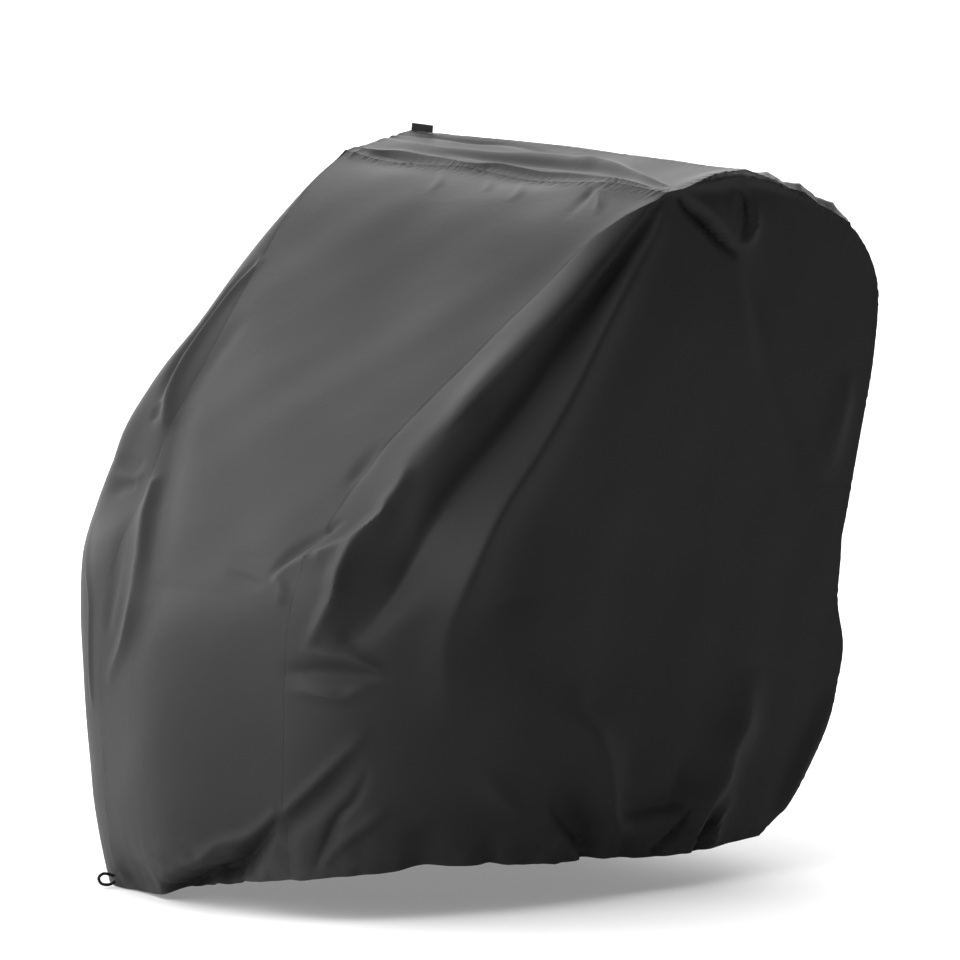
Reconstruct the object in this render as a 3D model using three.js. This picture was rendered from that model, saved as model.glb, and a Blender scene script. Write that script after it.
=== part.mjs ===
// A fitted storage cover for a child's bike trailer, in the shape it takes as it hangs over the trailer.
// Five cloth panels are sewn edge to edge: a front panel that falls down the slope and over the nose,
// a narrow top panel, a rear panel and two side panels. An elastic hem draws the bottom edge in.
// A bare label tab stands in the top rear seam and a small elastic loop hangs at the nose's hem.
// Millimetres, +Z up, the sloping front faces -Y, and the origin is on the floor under the middle.
import * as THREE from "three";

// Driving dimensions
const CLOTH = 1.6; // thickness of the cloth
const SEAM_GAP = 0.3; // gap between two panels along a seam
const ACROSS_STEPS = 16; // steps across the front, top and rear panels
const HANG_STEPS = 28; // steps from the hem up a side panel or the front panel
const TOP_STEPS = 8; // steps along the top edge of a side panel
const SHOULDER_STEPS = 16; // steps along the rear seam from the top edge down to the rear shoulder
const SHOULDER_SHARE = 0.3; // share of the rear seam that lies above the rear shoulder

// The front seam of the +X side, from the top edge down to the hem. Columns: x, y, z.
const FRONT_SEAM = [
  [348, 117, 1010],
  [321, 10, 960],
  [296, -83, 882],
  [270, -174, 801],
  [246, -258, 727],
  [226, -330, 660],
  [204, -397, 572],
  [200, -454, 505],
  [199, -477, 435],
  [198, -483, 334],
  [195, -481, 234],
  [191, -477, 155],
  [188, -462, 64],
];

// The rear seam of the +X side, from the top edge round the back and down to the hem. Columns: x, y, z.
const REAR_SEAM = [
  [348, 267, 1031],
  [351, 347, 1012],
  [353, 425, 979],
  [356, 483, 936],
  [358, 514, 880],
  [360, 521, 812],
  [360, 511, 740],
  [360, 492, 655],
  [360, 472, 570],
  [360, 453, 480],
  [360, 442, 395],
  [361, 452, 318],
  [360, 430, 238],
  [358, 389, 162],
  [355, 347, 102],
  [350, 297, 60],
];

// How a side panel leaves the front seam and turns the nose corner, by the share of the way down.
// Columns: down, shoulder x, shoulder y past the seam, flank x, flank y past the seam.
const CORNER_TURN = [
  [0.0, 352, 60, 364, 250],
  [0.1, 376, -20, 372, 190],
  [0.2, 410, -66, 376, 140],
  [0.35, 434, -86, 382, 112],
  [0.48, 434, -72, 390, 130],
  [0.58, 424, -30, 400, 185],
  [0.68, 396, 16, 404, 240],
  [0.85, 376, 42, 404, 250],
  [1.0, 330, 40, 378, 210],
];

// How far the front and rear panels crown outwards between their seams. Columns: down, front, rear.
const CROWN = [
  [0.0, 0, 0],
  [0.2, 6, 10],
  [0.5, 8, 20],
  [0.65, 14, 20],
  [0.8, 22, 18],
  [0.9, 22, 16],
  [1.0, 16, 6],
];

// How high each panel's hem hangs above the floor. Columns: share across the panel, height.
// The band's panels are read from -X to +X and the side panels from the front seam to the rear seam.
const HEM = {
  front: [[0, 0], [0.2, 3], [0.4, 16], [0.6, 32], [0.8, 48], [1, 58]],
  right: [[0, 58], [0.15, 70], [0.3, 75], [0.55, 62], [0.8, 51], [1, 60]],
  rear: [[0, 48], [0.5, 40], [1, 60]],
  left: [[0, 0], [0.06, 2], [0.2, 12], [0.5, 40], [1, 48]],
};
const HEM_REACH = 440; // the height up to which the cloth follows the hem's ups and downs

// Folds: soft ridges and troughs laid on the cloth, each along a smooth line of points.
// Columns of a point: share across the panel, share down it, height (a trough is negative), half width.
// A fold is pushed straight out of the cloth unless it has a way of its own.
const fold = (name, panel, points, way) => ({ name, panel, points, way });
const FOLDS = [
  fold("corner roll", "right", [
    [0.033, 0.033, 2, 14], [0.093, 0.186, 5, 22], [0.097, 0.261, 8, 28], [0.093, 0.325, 9, 32],
    [0.1, 0.383, 10, 34], [0.087, 0.461, 8, 32], [0.08, 0.53, 3, 28], [0.07, 0.6, 0, 26],
  ]),
  fold("lip of the trough", "right", [
    [0.088, 0.472, 3, 13], [0.088, 0.491, 6, 14], [0.088, 0.513, 8, 15], [0.085, 0.531, 10, 15],
    [0.069, 0.581, 11, 16], [0.065, 0.619, 11, 16], [0.069, 0.65, 10, 15], [0.054, 0.688, 8, 14],
    [0.042, 0.712, 3, 12],
  ]),
  fold("wall beside the lip", "right", [
    [0.118, 0.49, -4, 24], [0.12, 0.543, -12, 32], [0.117, 0.593, -15, 34], [0.114, 0.64, -14, 30],
    [0.1, 0.683, -9, 22], [0.09, 0.703, -2, 14],
  ]),
  fold("long valley", "right", [
    [0.047, 0.017, -4, 12], [0.127, 0.092, -12, 18], [0.15, 0.178, -20, 26], [0.183, 0.289, -26, 34],
    [0.19, 0.372, -30, 38], [0.186, 0.43, -32, 40], [0.178, 0.5, -33, 40], [0.17, 0.56, -32, 38],
    [0.16, 0.62, -24, 34], [0.125, 0.68, -10, 28], [0.06, 0.719, -1, 20],
  ]),
  fold("long crest", "right", [
    [0.058, 0.02, 4, 12], [0.138, 0.07, 8, 12], [0.167, 0.107, 11, 16], [0.196, 0.16, 13, 20],
    [0.228, 0.236, 15, 24], [0.25, 0.319, 17, 28], [0.257, 0.378, 19, 30], [0.254, 0.45, 21, 31],
    [0.252, 0.525, 23, 32], [0.243, 0.6, 19, 34], [0.226, 0.66, 10, 34], [0.2, 0.72, 0, 34],
  ]),
  fold("edge of the roll", "right", [
    [0.015, 0.019, 1, 12], [0.077, 0.088, 4, 15], [0.096, 0.153, 7, 19], [0.1, 0.222, 7, 19],
    [0.104, 0.297, 6, 17], [0.1, 0.359, 3, 14], [0.096, 0.4, 0, 12],
  ]),
  fold("waist valley", "right", [
    [0.004, 0.753, -2, 12], [0.046, 0.747, -6, 13], [0.088, 0.741, -7, 14], [0.127, 0.731, -5, 12],
    [0.154, 0.728, -1, 12],
  ]),
  fold("hollow under the swag", "right", [
    [0.138, 0.028, -3, 12], [0.227, 0.05, -7, 12], [0.308, 0.069, -10, 14], [0.373, 0.081, -10, 15],
    [0.427, 0.091, -7, 15], [0.465, 0.097, -3, 13],
  ]),
  fold("hem crest", "right", [
    [0.471, 0.7, 0, 34], [0.483, 0.75, 9, 34], [0.517, 0.783, 17, 34], [0.542, 0.82, 22, 32],
    [0.562, 0.86, 24, 29], [0.579, 0.897, 22, 25], [0.617, 0.937, 15, 21], [0.646, 0.977, 9, 19],
  ]),
  fold("hollow left of the hem crest", "right", [
    [0.45, 0.82, 0, 22], [0.479, 0.873, -11, 22], [0.521, 0.91, -19, 21], [0.562, 0.95, -25, 20],
    [0.592, 0.993, -25, 20],
  ]),
  fold("hem pocket", "right", [
    [0.629, 0.947, -5, 12], [0.646, 0.967, -13, 14], [0.662, 0.993, -16, 16],
  ]),
  fold("groove between the hem crests", "right", [
    [0.604, 0.907, -1, 12], [0.642, 0.9, -7, 13], [0.692, 0.893, -9, 13], [0.746, 0.893, -4, 12],
  ]),
  fold("rear hem crest", "right", [
    [0.82, 0.66, 0, 32], [0.817, 0.72, 9, 32], [0.815, 0.76, 15, 30], [0.8, 0.797, 18, 27],
    [0.802, 0.847, 19, 24], [0.792, 0.883, 17, 21], [0.79, 0.917, 14, 16], [0.802, 0.96, 9, 14],
    [0.808, 0.987, 5, 13],
  ]),
  fold("hollow left of the rear crest", "right", [
    [0.725, 0.78, 0, 24], [0.729, 0.82, -6, 22], [0.733, 0.853, -10, 20], [0.733, 0.88, -9, 16],
  ]),
  fold("slanting hem crest", "right", [
    [0.317, 0.85, 2, 20], [0.362, 0.887, 10, 18], [0.417, 0.917, 11, 15], [0.475, 0.953, 7, 12],
  ]),
  fold("hem hollow", "right", [[0.242, 0.92, 0, 26], [0.242, 0.96, -10, 27], [0.246, 0.993, -16, 28]]),
  fold("hem hollow", "right", [[0.358, 0.93, 0, 15], [0.362, 0.963, -9, 16], [0.375, 0.997, -13, 16]]),
  fold("rear edge roll", "right", [
    [0.996, 0.683, 0, 16], [0.992, 0.757, 7, 16], [0.987, 0.84, 8, 16], [0.992, 0.923, 5, 13],
  ]),
  fold("drag crease", "right", [
    [0.008, 0.916, 6, 12], [0.038, 0.894, 8, 12], [0.065, 0.872, 9, 12], [0.088, 0.85, 8, 13],
    [0.112, 0.825, 5, 13], [0.142, 0.791, 0, 13],
  ]),
  fold("hollow right of the drag", "right", [
    [0, 0.944, -8, 16], [0.035, 0.919, -10, 17], [0.069, 0.894, -10, 18], [0.1, 0.862, -7, 18],
    [0.127, 0.831, 0, 17],
  ]),
  fold("crease across the seam", "right", [
    [0.096, 0.513, 2, 12], [0.081, 0.541, 5, 14], [0.062, 0.569, 7, 15], [0.038, 0.594, 8, 15],
    [0.019, 0.609, 8, 15],
  ]),
  fold("flank band", "right", [
    [0.446, 0.09, 0, 16], [0.554, 0.13, -5, 20], [0.662, 0.197, -6, 24], [0.808, 0.29, -5, 26],
    [0.912, 0.38, 0, 26],
  ]),
  fold("rear flank swell", "right", [
    [0.912, 0.167, 0, 16], [0.917, 0.213, 6, 18], [0.917, 0.28, 6, 20], [0.921, 0.347, 0, 20],
  ]),
  fold("wheel hollow", "right", [[0.5, 0.45, 0, 80], [0.56, 0.6, -7, 95], [0.6, 0.78, 0, 85]]),
  fold("crease across the seam, front part", "front", [
    [0.992, 0.622, 7, 15], [0.923, 0.638, 5, 15], [0.842, 0.653, 1, 14],
  ]),
  fold("knob under the crease", "front", [
    [0.904, 0.656, 2, 12], [0.938, 0.669, 3, 12], [0.962, 0.684, 0, 13],
  ]),
  fold("small hollow on the seam", "front", [
    [0.97, 0.52, -1, 12], [0.98, 0.494, -4, 14], [0.985, 0.47, -1, 12],
  ]),
  fold("far crest, lower part", "front", [
    [0.031, 0.556, 6, 13], [0.046, 0.578, 8, 14], [0.069, 0.603, 9, 15], [0.115, 0.634, 9, 15],
    [0.158, 0.663, 9, 15], [0.188, 0.703, 8, 15], [0.162, 0.747, 6, 15], [0.073, 0.784, 2, 14],
  ]),
  fold("hollow left of the far crest", "front", [
    [0, 0.609, -1, 12], [0.019, 0.647, -4, 13], [0.058, 0.697, -4, 13], [0.046, 0.734, -2, 12],
  ]),
  fold("trough inside the far crest", "front", [
    [0.054, 0.322, -2, 18], [0.019, 0.425, -4, 20], [0.05, 0.478, -6, 24], [0.108, 0.553, -6, 26],
    [0.142, 0.591, -6, 28], [0.235, 0.653, -5, 30], [0.288, 0.7, -4, 30], [0.273, 0.744, -2, 30],
    [0.231, 0.778, 0, 30],
  ]),
  fold("slack of the slope", "front", [
    [0.48, 0.08, 0, 95], [0.55, 0.25, -6, 125], [0.5, 0.42, 0, 115],
  ]),
  fold("swell of the nose", "front", [
    [0.45, 0.68, 2, 100], [0.46, 0.77, 20, 120], [0.47, 0.85, 30, 130], [0.48, 0.92, 30, 130],
    [0.48, 1, 24, 120],
  ]),
  fold("slack above the nose", "front", [
    [0.1, 0.64, -8, 56], [0.5, 0.64, -14, 66], [0.9, 0.64, -8, 56],
  ]),
  fold("hem drawn in under the nose", "front", [
    [0.02, 1, -7, 34], [0.14, 1, -13, 40], [0.28, 1, -13, 38],
  ]),
  fold("tuck under the nose", "front", [
    [0.4, 0.997, -34, 21], [0.481, 0.991, -34, 22], [0.588, 0.984, -34, 22], [0.708, 0.981, -34, 20],
    [0.812, 0.966, -30, 15], [0.9, 0.947, -16, 12], [0.958, 0.931, -5, 12],
  ]),
  fold("far crest", "left", [
    [0.004, 0.217, 3, 12], [0.029, 0.253, 5, 12], [0.046, 0.303, 6, 12], [0.046, 0.373, 8, 12],
    [0.037, 0.42, 9, 13], [0.013, 0.47, 6, 14],
  ]),
  fold("roll behind the slit", "left", [
    [0.08, 0.3, 0, 24], [0.1, 0.42, 6, 28], [0.09, 0.5, 7, 24], [0.1, 0.6, 0, 28],
  ]),
  fold("swell of the far corner", "left", [
    [0.13, 0.5, 0, 45], [0.14, 0.56, 8, 50], [0.14, 0.62, 8, 50], [0.15, 0.7, 5, 50],
    [0.15, 0.8, 0, 45],
  ]),
  fold("hem drawn in at the corner", "left", [
    [0.12, 0.9, 0, 34], [0.12, 0.96, -6, 36], [0.12, 1, -11, 38],
  ]),
  fold("far trough from the top corner", "left", [
    [0.12, 0.05, -4, 24], [0.19, 0.16, -12, 36], [0.27, 0.3, -17, 48], [0.3, 0.46, -15, 56],
    [0.28, 0.62, 0, 52],
  ]),
  fold("far ridge beside it", "left", [
    [0.22, 0.06, 4, 24], [0.3, 0.17, 10, 36], [0.39, 0.32, 14, 48], [0.43, 0.5, 12, 58],
    [0.4, 0.68, 0, 58],
  ]),
  fold("far flank hollow", "left", [
    [0.62, 0.18, 0, 62], [0.67, 0.38, -9, 78], [0.63, 0.58, -6, 82], [0.6, 0.74, 0, 80],
  ]),
  fold("far flank swell", "left", [[0.8, 0.34, 0, 62], [0.83, 0.55, 8, 70], [0.85, 0.76, 0, 62]]),
  fold("hem ridge", "left", [[0.34, 0.84, 0, 36], [0.35, 0.93, 8, 36], [0.35, 1, 11, 38]]),
  fold("hem trough", "left", [[0.5, 0.86, 0, 30], [0.49, 0.94, -9, 30], [0.49, 1, -13, 32]]),
  fold("hem ridge", "left", [[0.63, 0.82, 0, 30], [0.62, 0.92, 9, 30], [0.63, 1, 12, 32]]),
  fold("hem trough", "left", [[0.79, 0.86, 0, 28], [0.78, 0.94, -8, 30], [0.78, 1, -12, 30]]),
  fold("sag between the rear shoulders", "rear", [
    [0.1, 0.3, 0, 62], [0.3, 0.36, -8, 72], [0.6, 0.37, -10, 72], [0.9, 0.31, 0, 62],
  ]),
  fold("edge over the near shoulder", "rear", [
    [1, 0.02, -2, 17], [1, 0.05, -7, 17], [1, 0.08, -10, 17], [1, 0.105, -9, 17], [1, 0.13, -13, 17],
    [1, 0.165, -12, 17], [1, 0.19, -8, 17], [1, 0.21, -10, 17], [1, 0.24, -6, 17], [1, 0.28, 0, 17],
  ]),
  fold("drag from the near shoulder", "rear", [
    [0.95, 0.2, 0, 40], [0.82, 0.34, 8, 50], [0.68, 0.52, 9, 60], [0.62, 0.68, 0, 60],
  ]),
  fold("drag from the far shoulder", "rear", [
    [0.06, 0.22, 0, 40], [0.2, 0.38, 7, 50], [0.3, 0.56, 8, 60], [0.33, 0.72, 0, 60],
  ]),
  fold("upright roll", "rear", [
    [0.46, 0.42, 0, 48], [0.49, 0.54, 7, 52], [0.47, 0.7, 6, 54], [0.44, 0.82, 0, 50],
  ]),
  fold("waist crease", "rear", [
    [1, 0.6, -3, 26], [0.8, 0.61, -8, 28], [0.55, 0.6, -6, 30], [0.3, 0.62, 0, 28],
  ]),
  fold("hem trough", "rear", [[0.24, 0.9, 0, 32], [0.24, 0.96, -8, 32], [0.25, 1, -12, 34]]),
  fold("hem ridge", "rear", [[0.45, 0.88, 0, 36], [0.46, 0.95, 7, 36], [0.46, 1, 11, 36]]),
  fold("hem trough", "rear", [[0.7, 0.9, 0, 30], [0.7, 0.96, -7, 30], [0.7, 1, -10, 32]]),
  fold("valley behind the front ridge", "top", [
    [0.204, 0.266, 0, 12], [0.362, 0.256, -5, 12], [0.485, 0.262, -6, 14], [0.581, 0.372, -6, 14],
    [0.704, 0.378, -6, 14], [0.815, 0.297, -4, 12], [0.923, 0.162, -1, 12],
  ]),
  fold("second ridge of the top", "top", [
    [0.008, 0.522, 2, 12], [0.104, 0.434, 5, 17], [0.212, 0.372, 7, 23], [0.3, 0.391, 8, 27],
    [0.392, 0.397, 8, 30], [0.496, 0.547, 8, 30], [0.608, 0.638, 7, 23],
  ]),
  fold("drag from the near corner", "top", [
    [0.608, 0.638, 3, 18], [0.669, 0.597, 7, 20], [0.765, 0.45, 9, 18], [0.854, 0.334, 8, 14],
    [0.942, 0.2, 3, 12],
  ]),
  fold("rise of the near edge", "top", [
    [1, 0.1, 1, 22], [1, 0.4, 6, 30], [1, 0.65, 7, 30], [1, 0.95, 2, 26],
  ]),
  fold("sway of the front edge", "top", [
    [0.02, 0, 0, 30], [0.1, 0, -7, 34], [0.2, 0, -8, 36], [0.35, 0, -4, 36], [0.45, 0, -5, 34],
    [0.6, 0, -8, 34], [0.7, 0, -3, 30], [0.77, 0, 2, 30], [0.85, 0, 4, 30], [0.95, 0, 1, 24],
  ]),
  fold("far rear corner drawn in", "top", [
    [0, 1, 22, 60], [0.03, 1, 20, 60], [0.3, 1, 4, 60],
  ], [0, -1, -0.1]),
];

// The bare label tab that stands in the top rear seam, near the -X corner.
const LABEL_WIDTH = 46;
const LABEL_HEIGHT = 11;
const LABEL_THICKNESS = 1.6;
const LABEL_FROM_CORNER = 2; // along the seam
const LABEL_LEAN = 8; // degrees back from upright
const LABEL_CLEAR = 0.5; // above the seam

// The elastic loop sewn to the hem at the nose's -X corner.
const LOOP_CORD = 4.5; // diameter
const LOOP_REACH = 26; // how far it stands out
const LOOP_RISE = 21; // its height
const LOOP_SHARE = 0.015; // share along the side panel's hem
const LOOP_ABOVE_HEM = 12;
const LOOP_SPREAD = 8; // between its two ends
const LOOP_CLEAR = 1.8; // keeps its ends clear of the curve of the cloth
const LOOP_TILT = 0.2; // how much further out its upper end starts, as a share of its rise

const shares = (count) => Array.from({ length: count + 1 }, (_, i) => i / count);
const vec = (row) => new THREE.Vector3(row[0], row[1], row[2]);
const mirrored = (p) => new THREE.Vector3(-p.x, p.y, p.z);

// The rows of a table with smooth steps between them, so that a few rows draw a soft line.
const SMOOTH_STEPS = 8;
function smoothRows(rows) {
  const beyond = (a, b) => a.map((value, i) => 2 * value - b[i]);
  const last = rows.length - 1;
  const padded = [beyond(rows[0], rows[1]), ...rows, beyond(rows[last], rows[last - 1])];
  const made = [];
  for (let n = 0; n < last; n++) {
    const [p, q, r, s] = padded.slice(n, n + 4);
    for (let step = 0; step < SMOOTH_STEPS; step++) {
      const t = step / SMOOTH_STEPS;
      const weights = [
        -0.5 * t + t * t - 0.5 * t ** 3,
        1 - 2.5 * t * t + 1.5 * t ** 3,
        0.5 * t + 2 * t * t - 1.5 * t ** 3,
        -0.5 * t * t + 0.5 * t ** 3,
      ];
      made.push(q.map((_, i) => weights[0] * p[i] + weights[1] * q[i] + weights[2] * r[i] + weights[3] * s[i]));
    }
  }
  made.push(rows[last]);
  return made;
}

// A line of points that gives the place at any share of its own length.
function measured(points) {
  const reach = [0];
  for (let n = 1; n < points.length; n++) reach.push(reach[n - 1] + points[n].distanceTo(points[n - 1]));
  const whole = reach[points.length - 1];
  const at = (share) => {
    const want = THREE.MathUtils.clamp(share, 0, 1) * whole;
    let n = reach.findIndex((r) => r >= want);
    n = n < 1 ? 1 : n;
    const part = (want - reach[n - 1]) / (reach[n] - reach[n - 1]);
    return points[n - 1].clone().lerp(points[n], part);
  };
  at.whole = whole;
  return at;
}

const frontSeam = measured(smoothRows(FRONT_SEAM).map(vec));
const rearSeam = measured(smoothRows(REAR_SEAM).map(vec));

// The columns of a table at a share of its first column.
function tableAt(rows, share) {
  const found = rows.findIndex((r) => r[0] >= share);
  const next = found < 1 ? (found < 0 ? rows.length - 1 : 1) : found;
  const [a, b] = [rows[next - 1], rows[next]];
  const part = (share - a[0]) / (b[0] - a[0]);
  return a.map((value, i) => value + (b[i] - value) * part);
}
const cornerTurn = smoothRows(CORNER_TURN);
const crownRows = smoothRows(CROWN);

// A point between two seams, pushed out by a crown that is greatest half-way across.
const LEAN = 0.01;
function crowned(seam, down, across, crown, side) {
  const at = seam(down);
  const way = seam(down + LEAN).sub(seam(down - LEAN));
  const out = new THREE.Vector3(0, side * way.z, -side * way.y).normalize();
  const bow = 4 * across * (1 - across) * crown;
  return mirrored(at).lerp(at, across).addScaledVector(out, bow);
}
const frontRaw = (across, down) => crowned(frontSeam, down, across, tableAt(crownRows, down)[1], 1);
const rearRaw = (across, down) => crowned(rearSeam, down, across, tableAt(crownRows, down)[2], -1);

// The lower cloth is drawn up or let down so that its hem hangs at the height in the table.
const hemRows = Object.fromEntries(Object.entries(HEM).map(([panel, rows]) => [panel, smoothRows(rows)]));
function hung(panel, raw, share, down) {
  const point = raw(share, down);
  const hem = raw(share, 1).z;
  const near = THREE.MathUtils.smoothstep((HEM_REACH - point.z) / (HEM_REACH - hem), 0, 1);
  point.z += (tableAt(hemRows[panel], share)[1] - hem) * near;
  return point;
}
const frontPoint = (across, down) => hung("front", frontRaw, across, down);
const rearPoint = (across, down) => hung("rear", rearRaw, across, down);
const topPoint = (across, back) => frontPoint(across, 0).lerp(rearPoint(across, 0), back);

// The upper edge of a side panel: the top edge, then the rear seam as far as the rear shoulder.
const TOP_SHARE = TOP_STEPS / (TOP_STEPS + SHOULDER_STEPS);
function overEdge(along) {
  if (along <= TOP_SHARE) return frontSeam(0).lerp(rearSeam(0), along / TOP_SHARE);
  return rearSeam((SHOULDER_SHARE * (along - TOP_SHARE)) / (1 - TOP_SHARE));
}

// One level line of a side panel, from the front seam round the nose corner to the rear seam.
const LINE_STEPS = 60;
const kept = new Map();
function levelLine(down) {
  if (kept.has(down)) return kept.get(down);
  const start = frontSeam(down);
  const end = rearSeam(SHOULDER_SHARE + (1 - SHOULDER_SHARE) * down);
  const [, shoulderX, shoulderY, flankX, flankY] = tableAt(cornerTurn, down);
  const rise = (end.z - start.z) / 3;
  const curve = new THREE.CubicBezierCurve3(
    start,
    new THREE.Vector3(shoulderX, start.y + shoulderY, start.z + rise),
    new THREE.Vector3(flankX, start.y + flankY, end.z - rise),
    end,
  );
  kept.set(down, measured(curve.getPoints(LINE_STEPS)));
  return kept.get(down);
}

// A side panel lies on its level lines and is drawn up to its upper edge.
const DRAW_UP = 2.2;
function sideRaw(along, down) {
  const lift = overEdge(along).sub(levelLine(0)(along));
  return levelLine(down)(along).addScaledVector(lift, (1 - down) ** DRAW_UP);
}
const rightPoint = (along, down) => hung("right", sideRaw, along, down);
const leftPoint = (along, down) => mirrored(hung("left", sideRaw, along, down));

const PANEL = { front: frontPoint, top: topPoint, rear: rearPoint, right: rightPoint, left: leftPoint };

// The outward direction of a panel's smooth surface.
const NEAR = 0.006;
const TURNED = { front: -1, top: 1, rear: 1, right: -1, left: 1 };
function outward(panel, across, down) {
  const at = (a, d) => PANEL[panel](THREE.MathUtils.clamp(a, 0, 1), THREE.MathUtils.clamp(d, 0, 1));
  const along = at(across + NEAR, down).sub(at(across - NEAR, down));
  const fall = at(across, down + NEAR).sub(at(across, down - NEAR));
  return along.cross(fall).multiplyScalar(TURNED[panel]).normalize();
}

// A fold as a line of places, each with its outward direction, height and half width.
function foldLine({ panel, points, way }) {
  return smoothRows(points).map(([across, down, height, half]) => ({
    at: PANEL[panel](across, down),
    out: way ? vec(way) : outward(panel, across, down),
    height,
    half,
  }));
}

// How far and which way a fold moves a point of the cloth.
function foldPush(line, p) {
  let best = { gap: Infinity };
  for (let n = 0; n + 1 < line.length; n++) {
    const [a, b] = [line[n], line[n + 1]];
    const way = b.at.clone().sub(a.at);
    const part = THREE.MathUtils.clamp(p.clone().sub(a.at).dot(way) / way.lengthSq(), 0, 1);
    const gap = a.at.clone().addScaledVector(way, part).distanceTo(p);
    if (gap < best.gap) best = { gap, a, b, part };
  }
  const mix = (key) => best.a[key] + (best.b[key] - best.a[key]) * best.part;
  const share = best.gap / mix("half");
  const push = mix("height") * Math.exp(-share * share);
  return best.a.out.clone().lerp(best.b.out, best.part).multiplyScalar(push);
}
const foldLines = FOLDS.map(foldLine);
function draped(point) {
  const moved = point.clone();
  for (const line of foldLines) moved.add(foldPush(line, point));
  return moved;
}

// The front, top and rear panels are one band that runs from the front hem over the top to the rear hem.
const band = (across) => [
  ...shares(HANG_STEPS).map((rise) => frontPoint(across, 1 - rise)),
  ...shares(TOP_STEPS).slice(1).map((back) => topPoint(across, back)),
  ...shares(SHOULDER_STEPS).slice(1).map((part) => rearPoint(across, part * SHOULDER_SHARE)),
  ...shares(HANG_STEPS).slice(1).map((part) => rearPoint(across, SHOULDER_SHARE + part * (1 - SHOULDER_SHARE))),
];
const bandGrid = shares(ACROSS_STEPS).map((across) => band(across).map(draped));

// A side panel's grid runs from the front seam to the rear seam and from the hem up to the upper edge.
const ALONG_STEPS = TOP_STEPS + SHOULDER_STEPS;
const sideGrid = (point) =>
  shares(ALONG_STEPS).map((along) => shares(HANG_STEPS).map((rise) => draped(point(along, 1 - rise))));
const rightGrid = sideGrid(rightPoint);
const leftGrid = sideGrid(leftPoint);

// The directions square to a grid of points, one-sided at its edges.
function gridNormals(grid, turn) {
  const [across, rise] = [grid.length - 1, grid[0].length - 1];
  return grid.map((line, i) =>
    line.map((_, k) => {
      const along = grid[Math.min(across, i + 1)][k].clone().sub(grid[Math.max(0, i - 1)][k]);
      const up = line[Math.min(rise, k + 1)].clone().sub(line[Math.max(0, k - 1)]);
      return along.cross(up).multiplyScalar(turn).normalize();
    }),
  );
}
const bandNormals = gridNormals(bandGrid, 1);
const rightNormals = gridNormals(rightGrid, 1);
const leftNormals = gridNormals(leftGrid, -1);

// Along a seam both panels lean the same way, so that their thickness meets in a mitre.
function mitre(sideNormals, edge) {
  const over = HANG_STEPS;
  const meets = [];
  for (let k = 0; k < HANG_STEPS; k++) meets.push([0, k, k]);
  for (let i = 0; i <= ALONG_STEPS; i++) meets.push([i, over, over + i]);
  for (let k = 0; k < HANG_STEPS; k++) meets.push([ALONG_STEPS, k, 2 * HANG_STEPS + ALONG_STEPS - k]);
  for (const [i, k, step] of meets) {
    const shared = sideNormals[i][k].clone().add(bandNormals[edge][step]).normalize();
    sideNormals[i][k] = shared;
    bandNormals[edge][step] = shared;
  }
}
mitre(rightNormals, ACROSS_STEPS);
mitre(leftNormals, 0);

// A sewn edge draws back by half the seam gap, square to the edge and towards the inside of the panel.
function drawnBack(points, i, k, di, dk) {
  const [across, rise] = [points.length - 1, points[0].length - 1];
  const pick = (a, b) =>
    points[THREE.MathUtils.clamp(a, 0, across)][THREE.MathUtils.clamp(b, 0, rise)];
  const edge = pick(i + Math.abs(dk), k + Math.abs(di)).clone();
  edge.sub(pick(i - Math.abs(dk), k - Math.abs(di))).normalize();
  const inside = pick(i + di, k + dk).clone().sub(pick(i, k));
  inside.addScaledVector(edge, -inside.dot(edge));
  return inside.normalize().multiplyScalar(SEAM_GAP / 2);
}
function trimmed(points, sewn) {
  const [across, rise] = [points.length - 1, points[0].length - 1];
  return points.map((line, i) =>
    line.map((p, k) => {
      const moved = p.clone();
      if (sewn.start && i === 0) moved.add(drawnBack(points, i, k, 1, 0));
      if (sewn.end && i === across) moved.add(drawnBack(points, i, k, -1, 0));
      if (sewn.low && k === 0) moved.add(drawnBack(points, i, k, 0, 1));
      if (sewn.high && k === rise) moved.add(drawnBack(points, i, k, 0, -1));
      return moved;
    }),
  );
}

// A closed sheet on a grid of points: an outer skin, an inner skin and a rim.
function sheet(points, normals, sewn, turn) {
  const inside = points.map((line, i) => line.map((p, k) => p.clone().addScaledVector(normals[i][k], -CLOTH)));
  const skins = [trimmed(points, sewn), trimmed(inside, sewn)];
  const position = skins.flat(2).flatMap((p) => p.toArray());
  const [across, rise] = [points.length, points[0].length];
  const inner = across * rise;
  const place = (i, k) => i * rise + k;
  const index = [];
  const quad = (...q) => {
    const [a, b, c, d] = turn > 0 ? q : q.reverse();
    index.push(a, b, c, a, c, d);
  };
  for (let i = 0; i + 1 < across; i++)
    for (let k = 0; k + 1 < rise; k++) {
      const [a, b, c, d] = [place(i, k), place(i + 1, k), place(i + 1, k + 1), place(i, k + 1)];
      quad(a, b, c, d);
      quad(inner + c, inner + b, inner + a, inner + d);
    }
  // The rim is split along its shorter diagonal, so that two panels' rims match along a seam.
  const points3 = skins.flat(2);
  const rim = (a, b) => {
    const level = points3[b].distanceTo(points3[inner + a]) <= points3[a].distanceTo(points3[inner + b]);
    if (level) quad(b, a, inner + a, inner + b);
    else quad(a, inner + a, inner + b, b);
  };
  for (let i = 0; i + 1 < across; i++) {
    rim(place(i, 0), place(i + 1, 0));
    rim(place(i + 1, rise - 1), place(i, rise - 1));
  }
  for (let k = 0; k + 1 < rise; k++) {
    rim(place(0, k + 1), place(0, k));
    rim(place(across - 1, k), place(across - 1, k + 1));
  }
  const made = new THREE.BufferGeometry();
  made.setAttribute("position", new THREE.Float32BufferAttribute(position, 3));
  made.setIndex(index);
  return made;
}

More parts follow.
